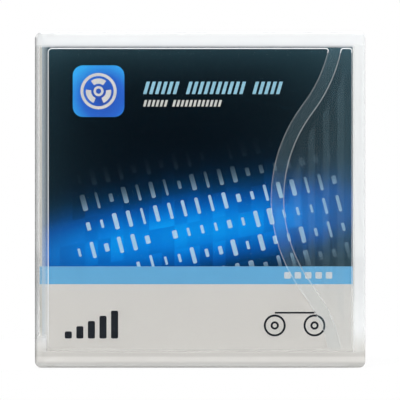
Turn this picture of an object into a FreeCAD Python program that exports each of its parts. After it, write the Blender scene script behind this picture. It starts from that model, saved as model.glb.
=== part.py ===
"""A data tape cartridge in its hinged storage case.

Everything is modelled on the bench: the case lies on its back, x runs from the spine to the
opening edge, y runs up the case and z rises from the back plane to the front cover. The
cartridge has a frame of its own, which lies parallel to the bench: x from the leading edge to
the label end, y from the plain side to the door side, z from its underside to its top. Each
piece is stood up on the case's bottom edge when it is written, so that the front cover faces -Y
and the origin is the middle of the footprint.
"""

import FreeCAD, Part
import math
import os

Vec = FreeCAD.Vector
UP = Vec(0, 0, 1)

# ---------------------------------------------------------------- storage case
cover_wall = 1.5
cover_plate = 1.35
panel_rise = 0.35
grip_rise = 0.3
case_corner_radius = 2.2
front_edge_radius = 0.8
spine_edge_radius = 3.0
step_edge_chamfer = 0.3

tray_wall = 1.4
tray_back_wall = 1.4
wall_gap = 0.3
hinge_barrel_radius = 2.4
hinge_pin_radius = 1.2
hinge_pin_clearance = 0.06
hinge_pin_setback = 0.25
spine_clearance = 0.8
spine_end_setback = 2.0
foot_width = 5.45
opening_edge_chamfer = 0.5

# how the cartridge sits in the tray
seat_gap = 0.3
seat_pad = 0.6
seat_pad_length = 12.0
seat_pad_inset = 16.0
seat_pad_height = 16.0
side_clearance = 0.15
cart_spine_gap = 1.45
cart_opening_gap = 2.95
cart_front_gap = 0.49
fence_thickness = 1.2
fence_margin = 8.0
fence_web_count = 3
locator_rib = 1.5
locator_clearance = 0.6

# relief on the front cover
panel_margin_side = 4.45
panel_margin_top = 5.3
panel_margin_bottom = 6.1
panel_corner_radius = 1.5
channel_width = 3.9
channel_corner_radius = 0.9
sweep_edge_distance = 29.65
sweep_radius = 50.5
flare_radius = 50.0
sweep_turn_deg = 37.2
grip_count = 4
grip_width = 2.2
grip_pitch = 4.9
grip_lead = 5.5
grip_offset = 3.2

# printed card in the cover, and the tabs that hold it
card_thickness = 0.25
card_plate_gap = 0.06
card_end_gap = 2.4
card_side_gap = 4.25
card_fold_radius = 1.6
card_spine_gap = 0.05
card_spine_end = 5.4
tab_length = 9.0
tab_depth = 1.9
tab_thickness = 1.0
tab_gap = 0.1
tab_corner_radius = 1.2
tab_spacing = 56.0
snap_height = 0.22
snap_radius = 2.5
snap_edge_distance = 10.75
snap_above_back = 11.0

# ---------------------------------------------------------------- cartridge
chords_per_turn = 12
small_sides = 16
shell_wall = 1.4
shell_floor = 1.5
lower_shell_height = 10.75
lip_height = 1.0
lip_thickness = 0.6
lip_clearance = 0.1
rim_edge_chamfer = 0.5
cart_corner_radius = 2.5
cart_guide_chamfer = 8.0

reel_lift = 1.7
reel_roof_gap = 1.35
reel_lead_gap = 0.7
reel_label_gap = 1.5
reel_plain_gap = 1.3
reel_rail_gap = 1.4
flange_radius = 48.5
flange_thickness = 1.2
flange_spigot_height = 2.0
flange_spigot_wall = 1.4
flange_spigot_clearance = 0.1
tape_width = 12.65
tape_side_gap = 0.2
hub_wall = 2.4
tape_pack_radius = 47.0
tape_wrap_gap = 0.02
spindle_clearance = 1.1

coupling_teeth = 36
lock_teeth = 24
coupling_washer_gap = 1.2
coupling_tooth_length = 3.4
coupling_height = 1.7
lock_tooth_inset = 0.5
lock_tooth_length = 2.7
lock_height = 1.3
lock_mesh_gap = 0.5
tooth_root_width = 1.15
tooth_tip_width = 0.65

washer_stem_gap = 1.4
washer_width = 6.8
washer_thickness = 0.7

button_radius = 8.5
button_thickness = 1.2
button_stem_radius = 4.2
button_stem_clearance = 0.4
button_stem_setback = 1.1
button_stem_chamfer = 0.6
button_float = 0.3
release_travel = 2.0

brake_rim_margin = 0.2
brake_bore_clearance = 0.7
brake_thickness = 1.6
brake_button_gap = 0.3
brake_sleeve_wall = 0.8
brake_sleeve_height = 8.5
brake_slot_floor = 0.9
key_length = 8.6
key_thickness = 1.9
key_clearance = 0.2
key_gap = 0.3
spring_sleeve_gap = 0.2
spring_wire = 0.7
spring_turns = 4.5

door_window_start = 5.0
door_window_width = 22.0
door_window_margin = 3.2
door_thickness = 1.4
door_overlap = 1.8
door_clearance = 0.2
door_wall_gap = 0.35
door_tab_width = 1.4
door_tab_setback = 0.6
door_tab_recess = 0.3
door_lip_depth = 0.9
door_lip_width = 1.2
door_lip_length = 9.0
door_travel = 19.5
rail_thickness = 0.8
rail_height = 1.2
rail_gap = 0.35
rail_overhang = 1.0
door_spring_radius = 0.75
door_spring_wire = 0.26
door_spring_turns = 6
door_spring_length = 28.0
spring_stop_thickness = 1.2

pin_x = 13.0
pin_inset = 8.4
pin_flange_radius = 2.5
pin_flange_thickness = 1.6
pin_neck_radius = 1.3
pin_neck_length = 1.0
pin_barrel_radius = 1.9
pin_end_gap = 0.2
pin_pocket_size = 9.4
pin_pocket_lip = 1.4
pin_pocket_height = 1.7
pin_pocket_clearance = 0.25
clamp_thickness = 0.5
clamp_gap = 0.05
clamp_end_gap = 0.2
clamp_opening_deg = 80.0
latch_thickness = 0.3
latch_width = 4.4
latch_gap = 0.1
latch_arm_gap = 0.25
latch_arm_length = 3.3
leader_thickness = 0.15
leader_gap = 0.1
leader_clamp_gap = 0.03

tab_window_start = 9.7
tab_window_bottom = 7.4
tab_window_height = 6.6
write_tab_width = 6.0
write_tab_clearance = 0.3
write_tab_recess = 0.2
write_tab_travel = 5.5
write_plate_thickness = 1.3
write_plate_gap = 0.35
write_plate_margin = 6.5
write_rail_thickness = 1.1
write_rail_height = 2.5
write_rail_length = 30.0
knob_groove_count = 3
knob_groove_width = 0.7
knob_groove_depth = 0.4

chip_length = 13.0
chip_board_width = 9.0
chip_thickness = 0.8
chip_start_y = 10.0
chip_wall_gap = 0.45
chip_seat_gap = 0.02
chip_top_setback = 0.6
chip_rest_wall = 1.2
chip_rest_inset = 1.0

screw_radius = 1.0
screw_clearance = 0.02
screw_length = 10.0
screw_pilot_extra = 0.5
screw_head_radius = 1.9
screw_head_height = 1.3
screw_head_clearance = 0.2
screw_recess = 0.6
screw_pillar = 5.6
screw_drive_width = 1.6
screw_drive_depth = 0.8
screw_inset = 6.5
screw_lead_inset_x = 4.6
screw_lead_inset_y = 14.0
screw_guide_inset_x = 14.5
screw_guide_inset_y = 5.6

grip_recess_inset = 11.0
grip_recess_length = 34.0
grip_recess_depth = 0.5
grip_recess_margin = 3.5
grip_rib_count = 8
grip_rib_width = 1.2
notch_inset = 3.0
notch_length = 4.6
notch_depth = 0.8
notch_height = 9.0
label_recess_depth = 0.4
label_recess_start = 27.0
label_recess_end_margin = 4.0
label_recess_margin = 2.4
top_recess_depth = 0.35
top_recess_margin = 7.0
top_recess_radius = 4.0
arrow_length = 9.0
arrow_width = 11.0
arrow_inset = 11.0
arrow_depth = 0.3
guard_rib_gap = 1.4
guard_rib_wall = 1.0
guard_rib_reach = 13.0
chip_side_rib_reach = 5.4
guard_rib_top_gap = 1.0

# ---------------------------------------------------------------- worked-out places, cartridge's frame
web_bottom = shell_floor + reel_lift
web_top = web_bottom + flange_thickness
tape_bottom = web_top + tape_side_gap
top_flange_bottom = tape_bottom + tape_width + tape_side_gap
ceiling = top_flange_bottom + flange_thickness + reel_roof_gap
cart_thickness = ceiling + shell_floor

washer_inner_radius = button_stem_radius + button_stem_clearance + washer_stem_gap
washer_outer_radius = washer_inner_radius + washer_width
coupling_inner_radius = washer_outer_radius + coupling_washer_gap
coupling_outer_radius = coupling_inner_radius + coupling_tooth_length
spindle_opening_radius = coupling_outer_radius + spindle_clearance
lock_inner_radius = coupling_inner_radius + lock_tooth_inset
lock_outer_radius = lock_inner_radius + lock_tooth_length
brake_radius = lock_outer_radius + brake_rim_margin
spigot_inner_radius = brake_radius + brake_bore_clearance
hub_bore = spigot_inner_radius + flange_spigot_wall + flange_spigot_clearance
hub_radius = hub_bore + hub_wall

reel_centre_x = shell_wall + reel_lead_gap + flange_radius
reel_centre_y = shell_wall + reel_plain_gap + flange_radius
cart_length = reel_centre_x + flange_radius + reel_label_gap + shell_wall
rail_inner = reel_centre_y + flange_radius + reel_rail_gap
door_inner = rail_inner + rail_thickness + rail_gap
door_outer = door_inner + door_thickness
cart_width = door_outer + door_wall_gap + shell_wall
door_start = door_window_start - door_overlap
door_end = door_window_start + door_window_width + door_overlap
spring_stop_x = door_end + door_spring_length

button_bottom = web_top + button_float
button_top = button_bottom + button_thickness
brake_bottom = button_top + brake_button_gap
brake_top = brake_bottom + brake_thickness
brake_slot_bottom = brake_top + brake_slot_floor
key_bottom = brake_slot_bottom + release_travel + key_gap
sleeve_half = key_length / 2 + key_clearance + brake_sleeve_wall
spring_bore_radius = (sleeve_half * math.sqrt(2) + spring_sleeve_gap) / math.cos(math.pi / chords_per_turn)
spring_radius = spring_bore_radius + spring_wire / 2

pin_y = cart_width - pin_inset
pin_low = shell_floor + pin_end_gap
pin_high = ceiling - pin_end_gap
barrel_low = pin_low + pin_flange_thickness + pin_neck_length
barrel_high = pin_high - pin_flange_thickness - pin_neck_length

write_plate_outer = cart_length - shell_wall - write_plate_gap
write_plate_inner = write_plate_outer - write_plate_thickness
write_plate_start = tab_window_start - write_plate_margin
tab_window_width = write_tab_width + 2 * write_tab_clearance + write_tab_travel
chip_lean = chip_board_width / math.sqrt(2)
chip_foot_x = shell_wall + chip_wall_gap + chip_lean

screw_head_seat = screw_recess + screw_head_height
screw_places = [
    (screw_guide_inset_x, screw_guide_inset_y),
    (cart_length - screw_inset, screw_inset),
    (cart_length - screw_inset, cart_width - screw_inset),
    (screw_lead_inset_x, cart_width - screw_lead_inset_y),
]

# ---------------------------------------------------------------- worked-out places, on the bench
case_width = (
    cover_wall + spine_clearance + tray_wall + cart_spine_gap + cart_length + cart_opening_gap + tray_wall
)
case_height = 2 * (cover_wall + wall_gap + tray_wall + seat_pad) + cart_width
cart_back = tray_back_wall + seat_gap
card_back = cart_back + cart_thickness + cart_front_gap
card_front = card_back + card_thickness
plate_back = card_front + card_plate_gap
plate_front = plate_back + cover_plate
panel_front = plate_front + panel_rise
case_depth = panel_front + grip_rise
case_left = -case_width / 2
case_right = case_width / 2

spine_inner = case_left + cover_wall
tray_left = spine_inner + spine_clearance
hinge_x = tray_left + hinge_barrel_radius
hinge_z = hinge_barrel_radius
foot_start = case_right - foot_width
foot_front = plate_back - wall_gap
tray_bottom = cover_wall + wall_gap
tray_top = case_height - tray_bottom
card_tab_front = card_back - tab_gap
card_tab_back = card_tab_front - tab_thickness
tray_front = card_tab_back - wall_gap
pocket_bottom = tray_bottom + tray_wall
pocket_top = tray_top - tray_wall
pocket_left = tray_left + tray_wall
pocket_right = case_right - tray_wall
cart_left = pocket_left + cart_spine_gap
cart_right = cart_left + cart_length
cart_bottom = pocket_bottom + seat_pad
cart_top = cart_bottom + cart_width

panel_left = case_left + panel_margin_side
panel_right = case_right - panel_margin_side
panel_bottom = panel_margin_bottom
panel_top = case_height - panel_margin_top
panel_middle = (panel_bottom + panel_top) / 2
sweep_left_x = case_right - sweep_edge_distance
snap_x = case_right - snap_edge_distance

# how far a piece sinks into the one it is joined to, and how far a cutter runs past a face
bite = 0.1
past = 1.0


# ---------------------------------------------------------------- helpers
def block(x0, x1, y0, y1, z0, z1):
    return Part.makeBox(x1 - x0, y1 - y0, z1 - z0, Vec(x0, y0, z0))


def rod(radius, x, y, z0, z1):
    """An upright cylinder between two heights."""
    return Part.makeCylinder(radius, z1 - z0, Vec(x, y, z0))


def small_rod(radius, x, y, z0, z1):
    """An upright rod with flat sides, for the small hidden pin, the screws and their bores."""
    turns = [2 * math.pi * i / small_sides for i in range(small_sides + 1)]
    corners = [Vec(x + radius * math.cos(t), y + radius * math.sin(t), 0) for t in turns]
    return prism(Part.makePolygon(corners), z0, z1)


def ring(outer, inner, x, y, z0, z1):
    return rod(outer, x, y, z0, z1).cut(rod(inner, x, y, z0 - past, z1 + past))


def cross_rod(radius, x, z, y0, y1):
    """A cylinder that lies along y."""
    return Part.makeCylinder(radius, y1 - y0, Vec(x, y0, z), Vec(0, 1, 0))


def outline(corners):
    """A closed wire in the XY plane through (x, y, radius) corners, each rounded by an arc."""
    legs, arcs = [], []
    for i, (x, y, radius) in enumerate(corners):
        here = Vec(x, y, 0)
        if radius <= 0:
            legs.append((here, here))
            arcs.append(None)
            continue
        before = Vec(*corners[i - 1][:2], 0) - here
        after = Vec(*corners[(i + 1) % len(corners)][:2], 0) - here
        before.normalize()
        after.normalize()
        half = before.getAngle(after) / 2
        setback = radius / math.tan(half)
        inward = before + after
        inward.normalize()
        centre = here + inward * (radius / math.sin(half))
        legs.append((here + before * setback, here + after * setback))
        arcs.append(Part.Arc(legs[-1][0], centre - inward * radius, legs[-1][1]).toShape())
    edges = []
    for i, arc in enumerate(arcs):
        if arc is not None:
            edges.append(arc)
        leave, arrive = legs[i][1], legs[(i + 1) % len(legs)][0]
        if leave.distanceToPoint(arrive) > 1e-6:
            edges.append(Part.LineSegment(leave, arrive).toShape())
    return Part.Wire(edges)


def prism(wire, z0, z1):
    """The wire, drawn in the XY plane, raised from z0 to z1."""
    face = Part.Face(wire)
    face.translate(Vec(0, 0, z0))
    return face.extrude(Vec(0, 0, z1 - z0))


def rounded_box(x0, x1, y0, y1, z0, z1, radius):
    corners = [(x0, y0, radius), (x1, y0, radius), (x1, y1, radius), (x0, y1, radius)]
    return prism(outline(corners), z0, z1)


def side_prism(corners, y0, y1):
    """(x, z, radius) corners drawn in the XZ plane and stretched along y from y0 to y1."""
    flat = prism(outline(corners), 0, y1 - y0)
    flat.rotate(Vec(0, 0, 0), Vec(1, 0, 0), 90)
    flat.translate(Vec(0, y1, 0))
    return flat


def end_prism(corners, x0, x1):
    """(y, z, radius) corners drawn in the YZ plane and stretched along x from x0 to x1."""
    flat = prism(outline(corners), 0, x1 - x0)
    flat.rotate(Vec(0, 0, 0), Vec(1, 1, 1), 120)
    flat.translate(Vec(x0, 0, 0))
    return flat


def fuse(*shapes):
    return shapes[0].multiFuse(list(shapes[1:])).removeSplitter()


def edges_at_height(shape, z):
    return [e for e in shape.Edges if abs(e.CenterOfMass.z - z) < 1e-4]


def mirrored_in_height(shape):
    """The shape and its mirror image about the case's half height."""
    return [shape, shape.mirror(Vec(0, case_height / 2, 0), Vec(0, 1, 0))]


def coil(radius, wire, turns, height):
    """An upright coil of flat-sided wire, whose centreline follows the helix by straight chords."""
    rise = height - wire
    count = round(turns * chords_per_turn)
    points = []
    for i in range(count + 1):
        turn = 2 * math.pi * i / chords_per_turn
        points.append(Vec(radius * math.cos(turn), radius * math.sin(turn), wire / 2 + rise * i / count))
    inner, outer = radius - wire / 2, radius + wire / 2
    corners = [(inner, 0), (outer, 0), (outer, wire), (inner, wire), (inner, 0)]
    section = Part.makePolygon([Vec(x, 0, z) for x, z in corners])
    mitred_corners = 1
    return Part.Wire(Part.makePolygon(points)).makePipeShell([section], True, True, mitred_corners)


def tooth_crown(count, inner, outer, root_z, tip_z, turn_deg):
    """A ring of straight-sided teeth about the z axis, which point up or down from root_z to tip_z."""
    sink = math.copysign(bite, root_z - tip_z)
    root, tip = tooth_root_width / 2, tooth_tip_width / 2
    corners = [(-root, root_z + sink, 0), (root, root_z + sink, 0), (root, root_z, 0)]
    corners += [(tip, tip_z, 0), (-tip, tip_z, 0), (-root, root_z, 0)]
    tooth = end_prism(corners, inner, outer)
    crown = []
    for i in range(count):
        copy = tooth.copy()
        copy.rotate(Vec(0, 0, 0), UP, turn_deg + 360.0 * i / count)
        crown.append(copy)
    return crown


def cross(length, thickness, z0, z1):
    long, thin = length / 2, thickness / 2
    return fuse(block(-long, long, -thin, thin, z0, z1), block(-thin, thin, -long, long, z0, z1))


def at_reel(shape):
    shape.translate(Vec(reel_centre_x, reel_centre_y, 0))
    return shape


# ---------------------------------------------------------------- front cover relief
def sweep_edges(offset):
    """The S-shaped sweep, from the panels' bottom to their top, moved to the left by offset."""
    turn = math.radians(sweep_turn_deg)
    middle = Vec(sweep_left_x + sweep_radius, panel_middle, 0)
    main, flare = sweep_radius + offset, flare_radius - offset
    rise = (sweep_radius + flare_radius) * math.sin(turn)
    flare_x = middle.x - (sweep_radius + flare_radius) * math.cos(turn)
    half = panel_top - panel_middle
    end_angle = math.asin((half - rise) / flare)
    mean = (end_angle - turn) / 2
    joints, bends, ends = [], [], []
    for side in (-1, 1):
        joints.append(middle + Vec(-main * math.cos(turn), side * main * math.sin(turn), 0))
        centre = Vec(flare_x, panel_middle + side * rise, 0)
        bends.append(centre + Vec(flare * math.cos(mean), side * flare * math.sin(mean), 0))
        ends.append(centre + Vec(flare * math.cos(end_angle), side * flare * math.sin(end_angle), 0))
    return [
        Part.Arc(ends[0], bends[0], joints[0]).toShape(),
        Part.Arc(joints[0], middle - Vec(main, 0, 0), joints[1]).toShape(),
        Part.Arc(joints[1], bends[1], ends[1]).toShape(),
    ]


def sweep_region(offset, side_x, z0, z1):
    """A slab between the sweep and the upright line x = side_x, within the panels' height."""
    edges = sweep_edges(offset)
    low, high = edges[0].Vertexes[0].Point, edges[-1].Vertexes[-1].Point
    far_low, far_high = Vec(side_x, low.y, 0), Vec(side_x, high.y, 0)
    edges.append(Part.LineSegment(high, far_high).toShape())
    edges.append(Part.LineSegment(far_high, far_low).toShape())
    edges.append(Part.LineSegment(far_low, low).toShape())
    return prism(Part.Wire(edges), z0, z1)


def corner_edges(shape, x_low, x_high):
    """The upright edges at the panels' top and bottom, between two places across the case."""
    corners = []
    for edge in shape.Edges:
        place = edge.CenterOfMass
        upright = abs(edge.tangentAt(edge.FirstParameter).z) > 0.999
        at_end = min(abs(place.y - panel_bottom), abs(place.y - panel_top)) < panel_corner_radius
        if upright and at_end and x_low < place.x < x_high:
            corners.append(edge)
    return corners


def front_panels():
    """The two raised panels, parted by the S-shaped channel."""
    root = plate_front - bite
    left = sweep_region(channel_width / 2, panel_left, root, panel_front)
    right = sweep_region(-channel_width / 2, panel_right, root, panel_front)
    left = left.makeFillet(panel_corner_radius, corner_edges(left, case_left, 0))
    left = left.makeFillet(channel_corner_radius, corner_edges(left, 0, case_right))
    right = right.makeFillet(channel_corner_radius, corner_edges(right, 0, case_right))
    return [
        panel.makeChamfer(step_edge_chamfer, edges_at_height(panel, panel_front)) for panel in (left, right)
    ]


def grip_bars():
    """Upright bars whose slanted ends keep a constant distance from the channel."""
    root = panel_front - bite
    area = sweep_region(-channel_width / 2 - grip_offset, panel_right, root, case_depth)
    bars = []
    for i in range(grip_count):
        x = sweep_left_x + grip_lead + i * grip_pitch
        bars.append(area.common(block(x, x + grip_width, 0, case_height, root, case_depth)))
    return bars


# ---------------------------------------------------------------- storage case
def cover_blank():
    """The cover's outer form: rounded as seen from the front, from above and from the side."""
    radius = case_corner_radius
    front_view = rounded_box(case_left, case_right, 0, case_height, 0, plate_front, radius)
    back_corner = hinge_x - case_left
    from_above = side_prism(
        [
            (case_left, 0, back_corner),
            (case_right, 0, 0),
            (case_right, plate_front, front_edge_radius),
            (case_left, plate_front, spine_edge_radius),
        ],
        0,
        case_height,
    )
    edge = front_edge_radius
    from_side = end_prism(
        [(0, 0, 0), (case_height, 0, 0), (case_height, plate_front, edge), (0, plate_front, edge)],
        case_left,
        case_right,
    )
    return front_view.common(from_above).common(from_side)


def card_tab(x):
    """A tab on the bottom cheek that keeps the printed card against the plate."""
    root = cover_wall - bite
    tip = cover_wall + tab_depth
    half = tab_length / 2
    corners = [
        (x - half, root, 0),
        (x + half, root, 0),
        (x + half, tip, tab_corner_radius),
        (x - half, tip, tab_corner_radius),
    ]
    return prism(outline(corners), card_tab_back, card_tab_front)


def snap_dome(grow):
    """A low dome inside the bottom cheek or, grown, the shape of the dimple that it rests in."""
    height = snap_height + grow
    ball = (snap_radius**2 + height**2) / (2 * height)
    top = cover_wall + height
    dome = Part.makeSphere(ball, Vec(snap_x, top - ball, snap_above_back))
    room = block(
        snap_x - ball,
        snap_x + ball,
        cover_wall - bite,
        top + past,
        snap_above_back - ball,
        snap_above_back + ball,
    )
    return dome.common(room)


def case_cover():
    """Front plate, spine wall and the two long cheeks, moulded in one piece."""
    room = side_prism(
        [
            (spine_inner, -past, 0),
            (case_right + past, -past, 0),
            (case_right + past, plate_back, 0),
            (spine_inner, plate_back, spine_edge_radius - cover_wall),
        ],
        cover_wall,
        case_height - cover_wall,
    )
    foot_relief = block(
        foot_start - wall_gap, case_right + past, -past, case_height + past, -past, plate_back
    )
    spine_relief = block(
        case_left - past,
        spine_inner,
        cover_wall,
        case_height - cover_wall,
        -past,
        hinge_z + spine_end_setback,
    )
    hole_radius = hinge_pin_radius + hinge_pin_clearance
    hinge_holes = cross_rod(hole_radius, hinge_x, hinge_z, -past, case_height + past)
    cover = cover_blank().cut(room).cut(foot_relief).cut(spine_relief).cut(hinge_holes)
    pieces = [cover, *front_panels(), *grip_bars(), *mirrored_in_height(snap_dome(0))]
    for x in (-tab_spacing / 2, tab_spacing / 2):
        pieces += mirrored_in_height(card_tab(x))
    return fuse(*pieces)


def hub_locator():
    """Two low crossed ribs on the tray's back wall that enter the cartridge's spindle opening."""
    length = 2 * (spindle_opening_radius - locator_clearance)
    ribs = cross(length, locator_rib, tray_back_wall - bite, cart_back + shell_floor - wall_gap)
    ribs.translate(Vec(cart_left + reel_centre_x, cart_bottom + reel_centre_y, 0))
    return ribs


def seat_pads():
    """Low pads on the tray's inner walls that the cartridge stands on and lies between."""
    root, top = tray_back_wall - bite, tray_back_wall + seat_pad_height
    pads = []
    for x in (cart_left + seat_pad_inset, cart_right - seat_pad_inset - seat_pad_length):
        pads.append(block(x, x + seat_pad_length, pocket_bottom - bite, cart_bottom, root, top))
        pads.append(
            block(x, x + seat_pad_length, cart_top + side_clearance, pocket_top + bite, root, top)
        )
    for y in (cart_bottom + seat_pad_inset, cart_top - seat_pad_inset - seat_pad_length):
        pads.append(
            block(pocket_left - bite, cart_left - side_clearance, y, y + seat_pad_length, root, top)
        )
    return pads


def opening_fence():
    """The thin wall beside the cartridge's label end, webbed to the opening-edge wall."""
    inner = cart_right + side_clearance
    outer = inner + fence_thickness
    low, high = cart_bottom + fence_margin, cart_top - fence_margin
    root, top = tray_back_wall - bite, tray_back_wall + seat_pad_height
    pieces = [block(inner, outer, low, high, root, top)]
    for i in range(fence_web_count):
        y = low + (high - low - fence_thickness) * i / (fence_web_count - 1)
        pieces.append(block(outer - bite, pocket_right + bite, y, y + fence_thickness, root, top))
    return pieces


def hinge_pins():
    return mirrored_in_height(
        cross_rod(hinge_pin_radius, hinge_x, hinge_z, hinge_pin_setback, tray_bottom + bite)
    )


def tray_blank():
    """The tray's outer form: a shallow box that enters the cover, and the full-height foot beside it."""
    right = foot_start + tray_wall
    body = side_prism(
        [
            (tray_left, 0, hinge_barrel_radius),
            (right, 0, 0),
            (right, tray_front, 0),
            (tray_left, tray_front, 0),
        ],
        tray_bottom,
        tray_top,
    )
    radius = case_corner_radius
    foot = prism(
        outline(
            [
                (foot_start, 0, 0),
                (case_right, 0, radius),
                (case_right, case_height, radius),
                (foot_start, case_height, 0),
            ]
        ),
        0,
        foot_front,
    )
    chamfer = side_prism(
        [
            (case_right - opening_edge_chamfer, foot_front, 0),
            (case_right, foot_front - opening_edge_chamfer, 0),
            (case_right, foot_front, 0),
        ],
        -past,
        case_height + past,
    )
    return fuse(body, foot.cut(chamfer))


def case_tray():
    """Back wall, opening-edge wall and the inner walls around the cartridge, with the hinge pins."""
    right = foot_start + tray_wall
    pocket = side_prism(
        [
            (pocket_left, tray_back_wall, hinge_barrel_radius - tray_wall),
            (right, tray_back_wall, 0),
            (right, case_depth, 0),
            (pocket_left, case_depth, 0),
        ],
        pocket_bottom,
        pocket_top,
    )
    inner_radius = case_corner_radius - tray_wall
    foot_room = prism(
        outline(
            [
                (right, tray_wall, 0),
                (pocket_right, tray_wall, inner_radius),
                (pocket_right, case_height - tray_wall, inner_radius),
                (right, case_height - tray_wall, 0),
            ]
        ),
        tray_back_wall,
        case_depth,
    )
    tray = tray_blank().cut(pocket.fuse(foot_room))
    tray = fuse(tray, *hinge_pins(), hub_locator(), *seat_pads(), *opening_fence())
    for dimple in mirrored_in_height(snap_dome(wall_gap)):
        tray = tray.cut(dimple)
    return tray


def inlay_card():
    """The folded card: a front panel behind the plate and a spine panel behind the spine wall."""
    outer = spine_inner + card_spine_gap
    inner = outer + card_thickness
    card_right = case_right - card_side_gap
    section = [
        (outer, card_spine_end, 0),
        (inner, card_spine_end, 0),
        (inner, card_back, card_fold_radius - card_thickness),
        (card_right, card_back, 0),
        (card_right, card_front, 0),
        (outer, card_front, card_fold_radius),
    ]
    low = cover_wall + card_end_gap
    return side_prism(section, low, case_height - low)


# ---------------------------------------------------------------- cartridge shells
def cartridge_plan(inset, z0, z1):
    """The cartridge's plan, with its chamfered insertion corner, moved inwards by inset."""
    length, width = cart_length - inset, cart_width - inset
    chamfer = cart_guide_chamfer + inset * (2 - math.sqrt(2))
    radius = max(cart_corner_radius - inset, cart_corner_radius / 5)
    corners = [(chamfer, inset), (length, inset), (length, width), (inset, width), (inset, chamfer)]
    return prism(outline([(x, y, radius) for x, y in corners]), z0, z1)


def guard_ribs(z0, z1):
    """Curved ribs round the reel at the three corners away from the leader pin."""
    inner = flange_radius + guard_rib_gap
    hoop = ring(inner + guard_rib_wall, inner, reel_centre_x, reel_centre_y, z0, z1)
    inside = cartridge_plan(shell_wall, z0, z1)
    ribs = []
    for direction, reach in ((-135, chip_side_rib_reach), (-45, guard_rib_reach), (45, guard_rib_reach)):
        x = reel_centre_x + inner * math.cos(math.radians(direction))
        y = reel_centre_y + inner * math.sin(math.radians(direction))
        ribs.append(hoop.common(block(x - reach, x + reach, y - reach, y + reach, z0, z1)).common(inside))
    return ribs


def pin_pocket(z0, z1):
    """The slotted block that holds one end of the leader pin, open towards the door."""
    half = pin_pocket_size / 2
    slot = pin_flange_radius + pin_pocket_clearance
    mouth = pin_y + half - pin_pocket_lip
    body = block(pin_x - half, pin_x + half, pin_y - half, mouth, z0, z1)
    body = body.cut(rod(slot, pin_x, pin_y, z0 - past, z1 + past))
    return body.cut(block(pin_x - slot, pin_x + slot, pin_y, mouth + past, z0 - past, z1 + past))


def door_rail(z0, z1):
    end = door_end + door_travel + rail_overhang
    return block(door_start - rail_overhang, end, rail_inner, rail_inner + rail_thickness, z0, z1)


def spring_stop(z0, z1):
    end = spring_stop_x + spring_stop_thickness
    return block(spring_stop_x, end, rail_inner, cart_width - shell_wall + bite, z0, z1)


def write_rail(z0, z1):
    outer = write_plate_inner - write_plate_gap
    return block(
        outer - write_rail_thickness,
        outer,
        write_plate_start,
        write_plate_start + write_rail_length,
        z0,
        z1,
    )


def grip_grooves():
    """The grooves that leave the raised grip ribs on both long sides."""
    low, high = grip_recess_margin, cart_thickness - grip_recess_margin
    groove = (grip_recess_length - grip_rib_count * grip_rib_width) / (grip_rib_count + 1)
    start = cart_length - grip_recess_inset - grip_recess_length
    cuts = []
    for i in range(grip_rib_count + 1):
        x = start + i * (groove + grip_rib_width)
        cuts.append(block(x, x + groove, -past, grip_recess_depth, low, high))
        cuts.append(block(x, x + groove, cart_width - grip_recess_depth, cart_width + past, low, high))
    return cuts


def gripper_notches():
    """The notch in each long side that a library's gripper holds."""
    end = cart_length - notch_inset
    low = (cart_thickness - notch_height) / 2
    return [
        block(end - notch_length, end, y - notch_depth, y + notch_depth, low, low + notch_height)
        for y in (0, cart_width)
    ]


def wall_openings():
    """The door window, the write-protect window and the label recess."""
    door_window = block(
        door_window_start,
        door_window_start + door_window_width,
        cart_width - shell_wall - past,
        cart_width + past,
        door_window_margin,
        cart_thickness - door_window_margin,
    )
    write_window = block(
        cart_length - shell_wall - past,
        cart_length + past,
        tab_window_start,
        tab_window_start + tab_window_width,
        tab_window_bottom,
        tab_window_bottom + tab_window_height,
    )
    label_recess = block(
        cart_length - label_recess_depth,
        cart_length + past,
        label_recess_start,
        cart_width - label_recess_end_margin,
        label_recess_margin,
        cart_thickness - label_recess_margin,
    )
    return [door_window, write_window, label_recess]


def chip_rests():
    """Two sloping rests that hold the memory chip's board at 45 degrees."""
    floor = shell_floor - bite
    rests = []
    last = chip_start_y + chip_length - chip_rest_inset - chip_rest_wall
    for y in (chip_start_y + chip_rest_inset, last):
        corners = [
            (shell_wall - bite, floor, 0),
            (chip_foot_x + bite, floor, 0),
            (shell_wall - bite, shell_floor + chip_foot_x - shell_wall + bite, 0),
        ]
        rests.append(side_prism(corners, y, y + chip_rest_wall))
    return rests


def screw_pillars(z0, z1):
    half = screw_pillar / 2
    return [block(x - half, x + half, y - half, y + half, z0, z1) for x, y in screw_places]


def cut_all(shape, cutters):
    for cutter in cutters:
        shape = shape.cut(cutter)
    return shape


def lower_shell():
    """Underside, lower half of the walls, spindle opening, screw pillars, rails and rests."""
    parting = lower_shell_height
    body = cartridge_plan(0, 0, parting)
    body = body.makeChamfer(rim_edge_chamfer, edges_at_height(body, 0))
    body = body.cut(cartridge_plan(shell_wall, shell_floor, parting + past))
    lip = cartridge_plan(shell_wall - lip_thickness, parting - bite, parting + lip_height)
    lip = lip.cut(cartridge_plan(shell_wall, parting - past, parting + lip_height + past))
    floor = shell_floor - bite
    shell = fuse(
        body,
        lip,
        *screw_pillars(floor, parting),
        *guard_ribs(floor, parting - guard_rib_top_gap),
        *chip_rests(),
        pin_pocket(floor, shell_floor + pin_pocket_height),
        door_rail(floor, shell_floor + rail_height),
        spring_stop(floor, parting + lip_height),
        write_rail(floor, shell_floor + write_rail_height),
    )
    opening = rod(spindle_opening_radius, reel_centre_x, reel_centre_y, -past, cart_thickness)
    cutters = [opening, *wall_openings(), *grip_grooves(), *gripper_notches()]
    for x, y in screw_places:
        cutters.append(small_rod(screw_head_radius + screw_head_clearance, x, y, -past, screw_head_seat))
        cutters.append(small_rod(screw_radius + screw_clearance, x, y, 0, cart_thickness))
    return cut_all(shell, cutters)


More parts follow.
